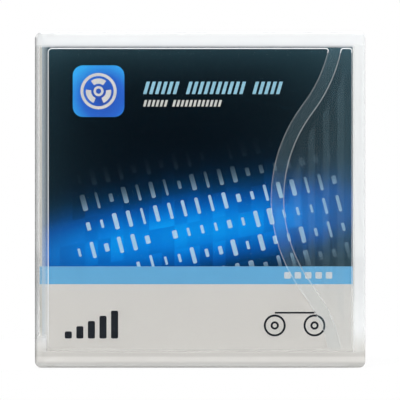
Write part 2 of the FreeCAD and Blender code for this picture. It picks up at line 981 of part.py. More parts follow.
def insertion_arrow():
    """A plain triangle sunk into the top, which points to the leading edge."""
    top = cart_thickness - top_recess_depth
    middle = cart_width / 2
    corners = [
        (arrow_inset, middle, 0),
        (arrow_inset + arrow_length, middle - arrow_width / 2, 0),
        (arrow_inset + arrow_length, middle + arrow_width / 2, 0),
    ]
    return prism(outline(corners), top - arrow_depth, top + past)


def upper_shell():
    """Top, upper half of the walls, the brake's key post, screw pillars and rails."""
    parting = lower_shell_height
    body = cartridge_plan(0, parting, cart_thickness)
    body = body.makeChamfer(rim_edge_chamfer, edges_at_height(body, cart_thickness))
    body = body.cut(cartridge_plan(shell_wall, parting - past, ceiling))
    rebate_top = parting + lip_height + lip_clearance
    rebate = cartridge_plan(shell_wall - lip_thickness - lip_clearance, parting - past, rebate_top)
    margin = top_recess_margin
    recess = rounded_box(
        margin,
        cart_length - margin,
        margin,
        cart_width - margin,
        cart_thickness - top_recess_depth,
        cart_thickness + past,
        top_recess_radius,
    )
    body = body.cut(rebate).cut(recess).cut(insertion_arrow())
    roof = ceiling + bite
    shell = fuse(
        body,
        at_reel(cross(key_length, key_thickness, key_bottom, roof)),
        *screw_pillars(parting, roof),
        *guard_ribs(rebate_top, roof),
        pin_pocket(ceiling - pin_pocket_height, roof),
        door_rail(ceiling - rail_height, roof),
        spring_stop(rebate_top, roof),
        write_rail(ceiling - write_rail_height, roof),
    )
    pilot_top = screw_head_seat + screw_length + screw_pilot_extra
    cutters = [*wall_openings(), *grip_grooves(), *gripper_notches()]
    pilot = screw_radius + screw_clearance
    cutters += [small_rod(pilot, x, y, 0, pilot_top) for x, y in screw_places]
    return cut_all(shell, cutters)


def shell_screws():
    """Four pan-head screws with a square socket, which hold the two shells together."""
    screws = []
    for x, y in screw_places:
        head = small_rod(screw_head_radius, x, y, screw_recess, screw_head_seat)
        half = screw_drive_width / 2
        bottom, top = screw_recess - past, screw_recess + screw_drive_depth
        socket = block(x - half, x + half, y - half, y + half, bottom, top)
        shank = small_rod(screw_radius, x, y, screw_head_seat - bite, screw_head_seat + screw_length)
        screws.append(fuse(head, shank).cut(socket))
    return Part.makeCompound(screws)


# ---------------------------------------------------------------- reel and brake
def reel_hub():
    """Hub, lower flange and web in one moulding, with coupling teeth below and lock teeth inside."""
    barrel = rod(hub_radius, 0, 0, web_bottom, top_flange_bottom)
    barrel = barrel.cut(rod(hub_bore, 0, 0, web_top, top_flange_bottom + past))
    flange = rod(flange_radius, 0, 0, web_bottom, web_top)
    inner, outer, tip = coupling_inner_radius, coupling_outer_radius, web_bottom - coupling_height
    coupling = tooth_crown(coupling_teeth, inner, outer, web_bottom, tip, 0)
    inner, outer, tip = lock_inner_radius, lock_outer_radius, web_top + lock_height
    lock = tooth_crown(lock_teeth, inner, outer, web_top, tip, 0)
    hub = fuse(barrel, flange, *coupling, *lock)
    stem_hole = rod(button_stem_radius + button_stem_clearance, 0, 0, 0, cart_thickness)
    return at_reel(hub.cut(stem_hole))


def upper_flange():
    """The welded top flange, with the spigot that centres it in the hub."""
    low, high = top_flange_bottom, top_flange_bottom + flange_thickness
    disc = rod(flange_radius, 0, 0, low, high)
    spigot_radius = hub_bore - flange_spigot_clearance
    spigot = rod(spigot_radius, 0, 0, low - flange_spigot_height, low + bite)
    bore = rod(spigot_inner_radius, 0, 0, 0, cart_thickness)
    return at_reel(fuse(disc, spigot).cut(bore))


def tape_pack():
    inner = hub_radius + tape_wrap_gap
    return at_reel(ring(tape_pack_radius, inner, 0, 0, tape_bottom, tape_bottom + tape_width))


def hub_washer():
    """The steel washer that the drive's magnet pulls on."""
    low = web_bottom - washer_thickness
    return at_reel(ring(washer_outer_radius, washer_inner_radius, 0, 0, low, web_bottom))


def release_button():
    """The mushroom that the drive pushes to lift the brake off the lock teeth."""
    stem_bottom = web_bottom - button_stem_setback
    cap = rod(button_radius, 0, 0, button_bottom, button_top)
    stem = rod(button_stem_radius, 0, 0, stem_bottom, button_bottom + bite)
    stem = stem.makeChamfer(button_stem_chamfer, edges_at_height(stem, stem_bottom))
    return at_reel(fuse(cap, stem))


def brake_plate():
    """The toothed lock plate, with the keyed sleeve that slides on the upper shell's post."""
    plate = rod(brake_radius, 0, 0, brake_bottom, brake_top)
    inner, outer, tip = lock_inner_radius, lock_outer_radius, web_top + lock_mesh_gap
    crown = tooth_crown(lock_teeth, inner, outer, brake_bottom, tip, 180.0 / lock_teeth)
    slot_length = key_length + 2 * key_clearance
    half, sleeve_top = sleeve_half, brake_top + brake_sleeve_height
    sleeve = block(-half, half, -half, half, brake_top - bite, sleeve_top)
    slot_width = key_thickness + 2 * key_clearance
    slot = cross(slot_length, slot_width, brake_slot_bottom, cart_thickness)
    return at_reel(fuse(plate, *crown, sleeve).cut(slot))


def brake_spring():
    spring = coil(spring_radius, spring_wire, spring_turns, ceiling - brake_top)
    spring.translate(Vec(0, 0, brake_top))
    return at_reel(spring)


# ---------------------------------------------------------------- door, leader pin and small parts
def tape_door():
    """The sliding door behind the window, with the tab that the drive catches."""
    low, high = shell_floor + door_clearance, ceiling - door_clearance
    panel = block(door_start, door_end, door_inner, door_outer, low, high)
    tab_start = door_window_start + door_tab_setback
    tab = block(
        tab_start,
        tab_start + door_tab_width,
        door_outer - bite,
        cart_width - door_tab_recess,
        door_window_margin + door_tab_recess,
        cart_thickness - door_window_margin - door_tab_recess,
    )
    middle = cart_thickness / 2
    lip = block(
        door_end - door_lip_width,
        door_end,
        door_inner - door_lip_depth,
        door_inner + bite,
        middle - door_lip_length / 2,
        middle + door_lip_length / 2,
    )
    return fuse(panel, tab, lip)


def door_spring():
    """The compression spring between the door's trailing end and its stop."""
    spring = coil(door_spring_radius, door_spring_wire, door_spring_turns, door_spring_length)
    spring.rotate(Vec(0, 0, 0), Vec(0, 1, 0), 90)
    spring.translate(Vec(door_end, (door_inner + door_outer) / 2, cart_thickness / 2))
    return spring


def leader_pin():
    """The turned pin that the drive pulls the tape out by, standing in its two pockets."""
    flange_top = pin_low + pin_flange_thickness
    flange_bottom = pin_high - pin_flange_thickness
    return fuse(
        small_rod(pin_flange_radius, pin_x, pin_y, pin_low, flange_top),
        small_rod(pin_neck_radius, pin_x, pin_y, flange_top - bite, flange_bottom + bite),
        small_rod(pin_barrel_radius, pin_x, pin_y, barrel_low, barrel_high),
        small_rod(pin_flange_radius, pin_x, pin_y, flange_bottom, pin_high),
    )


def tape_clamp():
    """The C-shaped clip that holds the tape's end on the pin's barrel."""
    inner = pin_barrel_radius + clamp_gap
    outer = inner + clamp_thickness
    low, high = barrel_low + clamp_end_gap, barrel_high - clamp_end_gap
    half = inner * math.sin(math.radians(clamp_opening_deg / 2))
    mouth = block(pin_x - half, pin_x + half, pin_y, pin_y + outer + past, 0, cart_thickness)
    return ring(outer, inner, pin_x, pin_y, low, high).cut(mouth)


def pin_latch():
    """The folded leaf spring behind the pin, whose two arms lie against the pin's end flanges."""
    front = pin_y - pin_pocket_size / 2 - latch_gap
    half = latch_width / 2
    strip = block(pin_x - half, pin_x + half, front - latch_thickness, front, shell_floor, ceiling)
    lower_arm = shell_floor + pin_pocket_height + latch_arm_gap
    upper_arm = ceiling - pin_pocket_height - latch_arm_gap - latch_thickness
    arms = [
        block(pin_x - half, pin_x + half, front - bite, front + latch_arm_length, z, z + latch_thickness)
        for z in (lower_arm, upper_arm)
    ]
    return fuse(strip, *arms)


def leader_tape():
    """The taut end of the tape, from the pack to the clamp on the leader pin."""
    start_radius = tape_pack_radius + leader_gap
    end_radius = pin_barrel_radius + clamp_gap + clamp_thickness + leader_clamp_gap
    span = Vec(pin_x - reel_centre_x, pin_y - reel_centre_y, 0)
    lean = math.asin((start_radius - end_radius) / span.Length)
    normal = math.atan2(span.y, span.x) + math.pi / 2 - lean
    out = Vec(math.cos(normal), math.sin(normal), 0)
    start = Vec(reel_centre_x, reel_centre_y, 0) + out * start_radius
    end = Vec(pin_x, pin_y, 0) + out * end_radius
    skin = out * leader_thickness
    ribbon = Part.makePolygon([start, end, end + skin, start + skin, start])
    return prism(ribbon, tape_bottom, tape_bottom + tape_width)


def write_protect_tab():
    """The sliding tab in the label end's window, with grooves for a fingertip."""
    low = tab_window_start + write_tab_clearance
    high = low + write_tab_width
    face = cart_length - write_tab_recess
    plate = block(
        write_plate_inner,
        write_plate_outer,
        write_plate_start,
        high + write_plate_margin,
        shell_floor + door_clearance,
        ceiling - door_clearance,
    )
    knob = block(
        write_plate_outer - bite,
        face,
        low,
        high,
        tab_window_bottom + write_tab_clearance,
        tab_window_bottom + tab_window_height - write_tab_clearance,
    )
    grooves = []
    for i in range(knob_groove_count):
        middle = low + write_tab_width * (i + 1) / (knob_groove_count + 1)
        start = middle - knob_groove_width / 2
        groove = block(face - knob_groove_depth, face + past, start, start + knob_groove_width, 0, ceiling)
        grooves.append(groove)
    return cut_all(fuse(plate, knob), grooves)


def memory_chip():
    """The contactless memory's small board, leaning at 45 degrees on its rests."""
    skin = chip_thickness * math.sqrt(2)
    foot_x, foot_z = chip_foot_x + chip_seat_gap, shell_floor + chip_seat_gap
    rise = chip_lean - chip_top_setback
    corners = [
        (foot_x, foot_z, 0),
        (foot_x + skin, foot_z, 0),
        (foot_x + skin - rise, foot_z + rise, 0),
        (foot_x - rise, foot_z + rise, 0),
    ]
    return side_prism(corners, chip_start_y, chip_start_y + chip_length)


# ---------------------------------------------------------------- assembly
def stand_up(shape):
    """From the bench to the standing case: the back turns away, the bottom edge comes down to z = 0."""
    shape.rotate(Vec(0, 0, 0), Vec(1, 0, 0), 90)
    shape.translate(Vec(0, case_depth / 2, 0))
    return shape


def in_tray(shape):
    """From the cartridge's own frame to its place in the tray."""
    shape.translate(Vec(cart_left, cart_bottom, cart_back))
    return shape


case_pieces = [case_cover, case_tray, inlay_card]
cartridge_pieces = [
    upper_shell,
    lower_shell,
    shell_screws,
    reel_hub,
    upper_flange,
    tape_pack,
    hub_washer,
    release_button,
    brake_plate,
    brake_spring,
    tape_door,
    door_spring,
    leader_pin,
    tape_clamp,
    pin_latch,
    leader_tape,
    write_protect_tab,
    memory_chip,
]


def main():
    os.makedirs("parts", exist_ok=True)
    for make in case_pieces:
        stand_up(make()).exportStep(f"parts/{make.__name__}.step")
    for make in cartridge_pieces:
        stand_up(in_tray(make())).exportStep(f"parts/{make.__name__}.step")
    print("case", round(case_width, 3), round(case_height, 3), round(case_depth, 3))
    print("cartridge", round(cart_length, 3), round(cart_width, 3), round(cart_thickness, 3))


main()
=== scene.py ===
# %% [markdown]
# # A data tape cartridge in its clear hinged case
#
# The object is a hinged case of clear plastic. A printed card is folded into its cover, and a data
# tape cartridge lies in its tray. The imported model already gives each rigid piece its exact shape.
# This script adds what a moulding drawing leaves out: finishes, print on the card, round wire in
# the springs, turned pins and screws, and a small studio round the case.

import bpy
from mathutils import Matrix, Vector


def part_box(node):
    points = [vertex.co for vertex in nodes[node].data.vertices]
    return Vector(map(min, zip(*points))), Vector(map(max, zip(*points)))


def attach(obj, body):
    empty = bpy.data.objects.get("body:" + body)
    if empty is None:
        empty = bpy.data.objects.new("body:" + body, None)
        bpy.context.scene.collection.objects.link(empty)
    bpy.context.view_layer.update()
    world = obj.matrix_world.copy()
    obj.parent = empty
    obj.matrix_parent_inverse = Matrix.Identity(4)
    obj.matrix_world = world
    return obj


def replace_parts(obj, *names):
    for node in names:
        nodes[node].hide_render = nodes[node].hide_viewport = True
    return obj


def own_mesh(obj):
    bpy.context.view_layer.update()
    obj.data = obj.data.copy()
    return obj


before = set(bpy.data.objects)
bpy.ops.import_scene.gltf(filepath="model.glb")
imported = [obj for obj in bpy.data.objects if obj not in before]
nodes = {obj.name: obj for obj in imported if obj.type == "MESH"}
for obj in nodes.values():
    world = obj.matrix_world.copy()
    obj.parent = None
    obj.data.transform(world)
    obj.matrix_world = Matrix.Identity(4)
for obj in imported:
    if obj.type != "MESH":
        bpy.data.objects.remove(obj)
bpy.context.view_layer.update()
print("pieces in the packed model:", len(nodes))

# %% [markdown]
# Blender works in metres, but a product like this is drawn in millimetres. One small constant keeps
# every size below in millimetres, and `box_mm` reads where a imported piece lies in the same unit.

# %% Millimetres
import math

import bmesh
import bpy
from mathutils import Matrix, Vector

MM = 0.001


def box_mm(node):
    """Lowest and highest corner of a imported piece, in millimetres."""
    low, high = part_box(node)
    return low / MM, high / MM


case_low, case_high = box_mm("case_cover")
card_low, card_high = box_mm("inlay_card")
cart_low, cart_high = box_mm("lower_shell")
print("case", [round(side, 1) for side in case_high - case_low])

# %% [markdown]
# Shaders and Geometry Nodes are both graphs of nodes, and long sums are hard to read as graphs. The
# class `Value` wraps one socket, so that `(x - 3) * 0.5` adds the Math nodes by itself. `Graph` adds
# every other node: its settings are set first, and then its sockets get values or links.

# %% Node helpers
class Value:
    """A number that varies over a piece: an output socket that Python's operators work on."""

    def __init__(self, graph, socket):
        self.graph = graph
        self.socket = socket

    def __add__(self, other):
        return self.graph.math("ADD", self, other)

    def __sub__(self, other):
        return self.graph.math("SUBTRACT", self, other)

    def __rsub__(self, other):
        return self.graph.math("SUBTRACT", other, self)

    def __mul__(self, other):
        return self.graph.math("MULTIPLY", self, other)

    def __truediv__(self, other):
        return self.graph.math("DIVIDE", self, other)

    def __pow__(self, other):
        return self.graph.math("POWER", self, other)

    def __lt__(self, other):
        return self.graph.math("LESS_THAN", self, other)

    def __gt__(self, other):
        return self.graph.math("GREATER_THAN", self, other)

    def __abs__(self):
        return self.graph.math("ABSOLUTE", self)

    __radd__ = __add__
    __rmul__ = __mul__

    def larger(self, other):
        return self.graph.math("MAXIMUM", self, other)

    def floor(self):
        return self.graph.math("FLOOR", self)

    def exp(self):
        return self.graph.math("EXPONENT", self)

    def step(self, low, high):
        """0 below low, 1 above high, and a smooth rise between them."""
        settings = {"interpolation_type": "SMOOTHSTEP"}
        sockets = {"Value": self, "From Min": low, "From Max": high}
        return Value(self.graph, self.graph.add("ShaderNodeMapRange", settings, sockets).outputs[0])

    def between(self, low, high, soft):
        """1 from low to high, falling to 0 over a soft edge."""
        return self.step(low - soft, low + soft) * (1 - self.step(high - soft, high + soft))


class Graph:
    """A node tree; add() is the one way that a node comes into it."""

    def __init__(self, tree):
        self.tree = tree
        tree.nodes.clear()

    def add(self, kind, settings=None, sockets=None):
        node = self.tree.nodes.new(kind)
        for name, setting in (settings or {}).items():
            if name == "stops":
                self.set_stops(node.color_ramp, setting)
            else:
                setattr(node, name, setting)
        for key, given in (sockets or {}).items():
            self.plug(node.inputs[key], given)
        return node

    def math(self, operation, *terms):
        node = self.add("ShaderNodeMath", {"operation": operation}, dict(enumerate(terms)))
        return Value(self, node.outputs[0])

    def parts(self, vector):
        """x, y and z of a vector."""
        outputs = self.add("ShaderNodeSeparateXYZ", {}, {0: vector}).outputs
        return [Value(self, output) for output in outputs]

    def plug(self, socket, given):
        """Links a socket to a value or another socket, or else sets what it holds."""
        if isinstance(given, Value):
            given = given.socket
        if isinstance(given, bpy.types.NodeSocket):
            self.tree.links.new(given, socket)
        elif socket.type == "RGBA":
            socket.default_value = (*given, 1.0)
        else:
            socket.default_value = given

    @staticmethod
    def set_stops(ramp, stops):
        """Gives a colour ramp its places and colours."""
        while len(ramp.elements) < len(stops):
            ramp.elements.new(1.0)
        for element, (position, colour) in zip(ramp.elements, stops):
            element.position = position
            element.color = (*colour, 1.0)


# %% [markdown]
# Colours are easier to choose as the 0 to 255 numbers of a colour picker. Renderers do their sums
# on light, so `paint` turns such a colour into linear light once, in Python.

# %% Colours
def paint(red, green, blue):
    """A picker's colour as linear light, by the sRGB curve."""
    return tuple(
        c / 12.92 if c <= 0.04045 else ((c + 0.055) / 1.055) ** 2.4
        for c in (red / 255, green / 255, blue / 255)
    )


print("middle grey in linear light:", [round(share, 3) for share in paint(128, 128, 128)])

# %% [markdown]
# `Finish` is one material. It knows a point's place on the piece in millimetres, mixes two colours,
# makes a fine bump, and ends in one Principled shader. Places come from Object coordinates, which
# stay with the piece when it moves.

# %% A finish
class Finish(Graph):
    """One material, whose places are in millimetres in the piece's own coordinates."""

    def __init__(self, name):
        self.material = bpy.data.materials.new(name)
        self.material.use_nodes = True
        super().__init__(self.material.node_tree)
        self.output = self.add("ShaderNodeOutputMaterial")
        self.coordinates = self.add("ShaderNodeTexCoord").outputs["Object"]

    def place(self):
        """x, y and z of the point, in millimetres."""
        return [part * (1 / MM) for part in self.parts(self.coordinates)]

    def facing(self):
        """x, y and z of the way that the surface faces, in the piece's own coordinates."""
        normal = self.add("ShaderNodeNewGeometry").outputs["True Normal"]
        settings = {"vector_type": "NORMAL", "convert_from": "WORLD", "convert_to": "OBJECT"}
        own = self.add("ShaderNodeVectorTransform", settings, {0: normal}).outputs[0]
        return self.parts(own)

    def mix(self, share, first, second):
        """The first colour where share is 0, and the second where it is 1."""
        settings = {"data_type": "RGBA", "clamp_factor": True}
        colour_a, colour_b, colour_result = 6, 7, 2
        sockets = {"Factor": share, colour_a: first, colour_b: second}
        return self.add("ShaderNodeMix", settings, sockets).outputs[colour_result]

    def blend(self, share, first, second):
        """The first shader where share is 0, and the second where it is 1."""
        return self.add("ShaderNodeMixShader", {}, {0: share, 1: first, 2: second}).outputs[0]

    def noise(self, size, detail=2.0):
        """Soft noise from 0 to 1 whose blobs are about size millimetres across."""
        sockets = {"Vector": self.coordinates, "Scale": 1 / (size * MM), "Detail": detail}
        return Value(self, self.add("ShaderNodeTexNoise", {}, sockets).outputs["Fac"])

    def bump(self, height, depth):
        """A normal bent by a height from 0 to 1 that is depth millimetres deep."""
        sockets = {"Height": height, "Distance": depth * MM, "Strength": 1.0}
        return self.add("ShaderNodeBump", {}, sockets).outputs["Normal"]

    def shader(self, colour, **sockets):
        """A Principled shader of that colour; other sockets by name, with _ for a space."""
        named = {name.replace("_", " "): given for name, given in sockets.items()}
        return self.add("ShaderNodeBsdfPrincipled", {}, {"Base Color": colour, **named}).outputs[0]

    def show(self, shader):
        """Ends the material in this shader, and returns the material."""
        self.plug(self.output.inputs["Surface"], shader)
        return self.material


# %% [markdown]
# The case is clear polystyrene. Left alone, a ray tracer would put everything inside such a case in
# deep shade, because light bent by glass is costly to follow. So rays on their way to a lamp meet a
# Transparent shader instead, by Light Path's Is Shadow Ray.
#
# The cover's front has a raised panel on the left, an S-shaped channel, and a second panel whose
# mould was left slightly matt. The channel's course is three arcs, so a few distances tell how far
# a point is from its middle, and that distance gives the matt zone its edge.

# %% The cover's relief, as distances
# Margins from the case's box to the panel's edge, then the channel and its arcs.
PANEL_SIDE_MARGIN, PANEL_TOP_MARGIN, PANEL_BOTTOM_MARGIN = 4.45, 5.3, 6.1
CHANNEL_HALF = 1.95
CHANNEL_LEFT_X = case_high.x - 29.65
PANEL_CORNER = 1.6
SWEEP_RADIUS, FLARE_RADIUS, SWEEP_TURN = 50.5, 50.0, math.radians(37.2)

panel_left = case_low.x + PANEL_SIDE_MARGIN
panel_right = case_high.x - PANEL_SIDE_MARGIN
panel_bottom = case_low.z + PANEL_BOTTOM_MARGIN
panel_top = case_high.z - PANEL_TOP_MARGIN
panel_middle = (panel_bottom + panel_top) / 2
sweep_x = CHANNEL_LEFT_X + SWEEP_RADIUS
flare_x = sweep_x - (SWEEP_RADIUS + FLARE_RADIUS) * math.cos(SWEEP_TURN)
flare_rise = (SWEEP_RADIUS + FLARE_RADIUS) * math.sin(SWEEP_TURN)
handover = SWEEP_RADIUS * math.sin(SWEEP_TURN)


def channel_distance(x, z):
    """How far a point lies to the left of the channel's middle, in millimetres."""
    height = abs(z - panel_middle)
    main = ((x - sweep_x) ** 2 + height ** 2) ** 0.5 - SWEEP_RADIUS
    flare = FLARE_RADIUS - ((x - flare_x) ** 2 + (height - flare_rise) ** 2) ** 0.5
    inner = height < handover
    return main * inner + flare * (1 - inner)


panel_size = (panel_right - panel_left, panel_top - panel_bottom)
print("raised panel", [round(side, 1) for side in panel_size])

# %% [markdown]
# On a real cover the matt zone looks milky, because it scatters light. A Mix Shader therefore puts
# a thin veil of pale plastic over the glass, and its factor, haze and painted light together, is a
# sum of zones: the right-hand panel is a little matt, the chamfers get a painted glint, and the
# border, where thick plastic is seen edge on, gets painted light above and streaky grey painted shade along
# the foot.

# %% Painted glints, light and shade on the clear plastic
FRONT_FACE_Y = case_low.y + 0.9
GRIP_FACE_Y = case_low.y + 0.1
BORDER_Y = (case_low.y + 1.0, case_low.y + 4.2)
CHAMFER_FACING, CHAMFER_SOFT = (-0.86, -0.5), 0.02
PLAIN_GLINT, ADDED_GLINT = 0.24, 0.61
FOOT_END_Z = (panel_bottom - 1.5, panel_bottom + 8.0)
STREAK_Z, STREAK_SOFT, LOW_EDGE_Z = (3.7, 5.2), 0.4, (1.2, 2.4)
# Where each side's painted light and shade sets in and is full, from the panel's edge, and then how strong
# it is.
OUTER_EDGE, BOTTOM_EDGE, LEFT_EDGE = (-0.2, 1.2), (-1.2, -0.2), (-4.0, -2.4)
HINGE_TOP, HINGE_SIDE = (1.5, 7.0), (-0.8, 0.0)
# Painted light along the top and the sides, and painted shade along the bottom and by the hinge.
TOP_EDGE_LIGHT, RIGHT_EDGE_LIGHT, BOTTOM_EDGE_SHADE, LEFT_EDGE_LIGHT, HINGE_EDGE_SHADE = 0.62, 0.5, 0.78, 0.36, 0.6
LEAST_EDGE_PAINT = 0.04


def step_glint(finish, x, z):
    """A painted glint on the chamfers round the raised panels: brightest on top, and on the far left."""
    chamfer = finish.facing()[1].between(*CHAMFER_FACING, CHAMFER_SOFT)
    upmost = z > panel_top - PANEL_CORNER
    leftmost = x < panel_left + PANEL_CORNER
    return chamfer * (PLAIN_GLINT + ADDED_GLINT * upmost.larger(leftmost))


def rim_light_and_shade_colour(finish, z):
    """Painted light above in cool white, and painted shade along the foot in grey with darker streaks."""
    streak = z.between(*STREAK_Z, STREAK_SOFT)
    foot = finish.mix(streak, paint(211, 209, 205), paint(193, 191, 187))
    lowest = finish.mix(z.step(*LOW_EDGE_Z), paint(178, 177, 174), foot)
    return finish.mix(z.step(*FOOT_END_Z), lowest, paint(240, 242, 244))


def past(along, edge, start, full):
    """0 before an edge and 1 past it, from start to full millimetres beyond it."""
    return along.step(edge + start, edge + full)


def rim(on_panel, x, y, z):
    """The share of painted light and shade on the border: most along its top and bottom, none behind its
    front.
    """
    top = past(z, panel_top, *OUTER_EDGE) * TOP_EDGE_LIGHT
    right = past(x, panel_right, *OUTER_EDGE) * RIGHT_EDGE_LIGHT
    bottom = (1 - past(z, panel_bottom, *BOTTOM_EDGE)) * BOTTOM_EDGE_SHADE
    left = (1 - past(x, panel_left, *LEFT_EDGE)) * LEFT_EDGE_LIGHT
    low_down = 1 - past(z, panel_bottom, *HINGE_TOP)
    hinge = low_down * (1 - past(x, panel_left, *HINGE_SIDE)) * HINGE_EDGE_SHADE
    painted_rim_share = top.larger(right).larger(bottom).larger(left).larger(hinge).larger(LEAST_EDGE_PAINT)
    return (1 - on_panel) * (1 - y.step(*BORDER_Y)) * painted_rim_share


# %% Clear plastic
PANEL_SOFT = 0.1
MATT_HAZE, CHANNEL_HAZE, GRIP_HAZE = 0.028, 0.032, 0.03
POLISHED, MATT_ROUGHNESS, VEIL_ROUGHNESS = 0.02, 0.1, 0.6
POLYSTYRENE_IOR = 1.5
GLINT_EDGE = 0.1
LET_THROUGH = (0.94, 0.94, 0.94)


def clear_plastic():
    finish = Finish("clear_plastic")
    x, y, z = finish.place()
    across_panel = x.between(panel_left, panel_right, PANEL_SOFT)
    on_panel = across_panel * z.between(panel_bottom, panel_top, PANEL_SOFT)
    over_card = (x > card_low.x) * (x < card_high.x) * (z > card_low.z) * (z < card_high.z)
    before_card = over_card * (y < card_low.y)
    glint = step_glint(finish, x, z)
    across = channel_distance(x, z)
    matt = (across < CHANNEL_HALF) * (x > flare_x) * on_panel
    channel = across > -CHANNEL_HALF
    panel_haze = matt * (MATT_HAZE + CHANNEL_HAZE * channel + GRIP_HAZE * (y < GRIP_FACE_Y))
    # The matt panel's haze, plus the painted glints and the border's painted light and shade.
    haze_and_painted_light = (y < FRONT_FACE_Y) * (panel_haze + glint) + rim(on_panel, x, y, z)
    tint = finish.mix(before_card, paint(236, 237, 235), paint(250, 250, 249))
    polish = POLISHED + MATT_ROUGHNESS * matt
    glass = finish.shader(tint, Roughness=polish, IOR=POLYSTYRENE_IOR, Transmission_Weight=1.0)
    # The veil's colour: painted light and shade on the border and glints, the matt panel's pale teal
    # elsewhere.
    bloom = finish.mix(on_panel * (glint < GLINT_EDGE), rim_light_and_shade_colour(finish, z), paint(168, 208, 222))
    veil = finish.shader(bloom, Roughness=VEIL_ROUGHNESS)
    seen = finish.blend(haze_and_painted_light, glass, veil)
    to_lamp = finish.add("ShaderNodeLightPath").outputs["Is Shadow Ray"]
    through = finish.add("ShaderNodeBsdfTransparent", {}, {"Color": LET_THROUGH}).outputs[0]
    return finish.show(finish.blend(to_lamp, seen, through))


def dress(material, *names):
    """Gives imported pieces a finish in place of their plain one."""
    for name in names:
        for slot in nodes[name].material_slots:
            slot.material = material
    print(material.name, "on", ", ".join(names))


dress(clear_plastic(), "case_cover", "case_tray")

# %% [markdown]
# The card is printed in flat process colours: a night-blue field with a bright azure glow, a light
# blue band, and a warm grey foot. The glow is one bell curve over the card, so the same sum can
# also fade the small print at its edges. It lies along a line that rises to the right. On it lie
# faint tilted blocks, whose brightness comes from a noise that is constant inside each block. A
# painted teal reflection lies over the night blue, stronger towards the top and the two sides.

# %% The card's colours
BAND_BOTTOM, BAND_TOP = 28.1, 34.1
GLOW_X, GLOW_Z, GLOW_SLOPE, GLOW_WIDE, GLOW_TALL = -3.0, 46.2, 0.15, 74.0, 13.0
ROW_SLOPE = 0.19
BLOCK_WIDE, BLOCK_TALL, BLOCK_CONTRAST = 4.3, 8.25, 0.2
PRINT_EDGE = 0.05
# Where each painted reflection is strongest, over how far it fades, and how strong it is there.
TOP_REFLECTION, LEFT_REFLECTION, RIGHT_REFLECTION = (104.4, 6.7, 0.24), (-48.1, -10.0, 0.12), (26.0, 12.0, 0.05)

glow_stops = [
    (0.0, paint(0, 11, 21)),
    (0.05, paint(0, 19, 35)),
    (0.15, paint(1, 35, 62)),
    (0.3, paint(2, 56, 104)),
    (0.5, paint(3, 84, 164)),
    (0.75, paint(4, 122, 214)),
    (1.0, paint(10, 164, 248)),
]


def row_height(x, z):
    """Height above the tilted line that the rows of print follow."""
    return z - x * ROW_SLOPE


def glow(x, z):
    """How strongly the glow shines at a place on the card, from 0 to 1."""
    across = (x - GLOW_X) / GLOW_WIDE
    rise = (z - x * GLOW_SLOPE - GLOW_Z) / GLOW_TALL
    return ((across * across + rise * rise) * -1).exp()


def falloff(along, start, fade, strength):
    """A painted reflection at its full strength at a place, which fades out from there."""
    return ((along - start) / fade).exp() * strength


def painted_reflection(x, z):
    """The share of painted teal reflection, which grows towards the card's top and sides."""
    return falloff(z, *TOP_REFLECTION) + falloff(x, *LEFT_REFLECTION) + falloff(x, *RIGHT_REFLECTION)


def card_colour(finish, x, z):
    """The card's printed colour at a place on its front."""
    block = {0: (x / BLOCK_WIDE).floor(), 1: (row_height(x, z) / BLOCK_TALL).floor()}
    corner = finish.add("ShaderNodeCombineXYZ", {}, block).outputs[0]
    noise = finish.add("ShaderNodeTexWhiteNoise", {}, {"Vector": corner})
    cell = Value(finish, noise.outputs["Value"])
    share = glow(x, z) * (1 - BLOCK_CONTRAST * cell)
    glowing = finish.add("ShaderNodeValToRGB", {"stops": glow_stops}, {"Fac": share}).outputs["Color"]
    # A painted teal reflection over the print, lighter towards the top and the two sides.
    field = finish.mix(painted_reflection(x, z), glowing, paint(60, 92, 104))
    band = z.between(BAND_BOTTOM, BAND_TOP, PRINT_EDGE)
    ground = finish.mix(z > BAND_TOP, paint(208, 206, 203), field)
    return finish.mix(band, ground, paint(104, 171, 214))


print("glow stops:", len(glow_stops), "and the band is", round(BAND_TOP - BAND_BOTTOM, 2), "mm tall")

# %% [markdown]
# Only the outside of the card is printed: its back is bare white board, which the shader finds by
# the way that the surface faces. On the spine the same band runs round the fold, below small grey bars.

# %% The printed card
SPINE_FACE_X = card_low.x + 1.0
CREASE_END_X = card_low.x + 3.2
SPINE_BARS = [(46.5, 54.9), (79.5, 83.5), (87.6, 89.2)]
SPINE_BAR_Y = (-6.0, -1.0)
FOLD_PALING = 0.6
GRAIN_SIZE, GRAIN_DEPTH, GRAIN_ROUGHNESS = 0.4, 0.004, 0.08
CARD_ROUGHNESS, CARD_SHEEN = 0.42, 0.02


def printed_card():
    finish = Finish("printed_card")
    x, y, z = finish.place()
    front = card_colour(finish, x, z)
    spine_band = z.between(BAND_BOTTOM, BAND_TOP, PRINT_EDGE)
    spine = finish.mix(spine_band, paint(206, 203, 198), paint(120, 176, 214))
    for low, high in SPINE_BARS:
        bar = z.between(low, high, PRINT_EDGE) * y.between(*SPINE_BAR_Y, PRINT_EDGE)
        spine = finish.mix(bar, spine, paint(96, 98, 104))
    # The front turns a pale blue-grey towards the fold of the spine.
    crease = (1 - x.step(SPINE_FACE_X, CREASE_END_X)) * FOLD_PALING
    creased = finish.mix(crease, front, paint(176, 190, 200))
    printed = finish.mix(x < SPINE_FACE_X, creased, spine)
    side_x, side_y, _ = finish.facing()
    outside = (side_x + side_y) < 0
    colour = finish.mix(outside, paint(228, 227, 222), printed)
    grain = finish.noise(GRAIN_SIZE)
    normal = finish.bump(grain, GRAIN_DEPTH)
    rough = CARD_ROUGHNESS + GRAIN_ROUGHNESS * grain
    return finish.show(finish.shader(colour, Roughness=rough, Specular_IOR_Level=CARD_SHEEN, Normal=normal))


dress(printed_card(), "inlay_card")

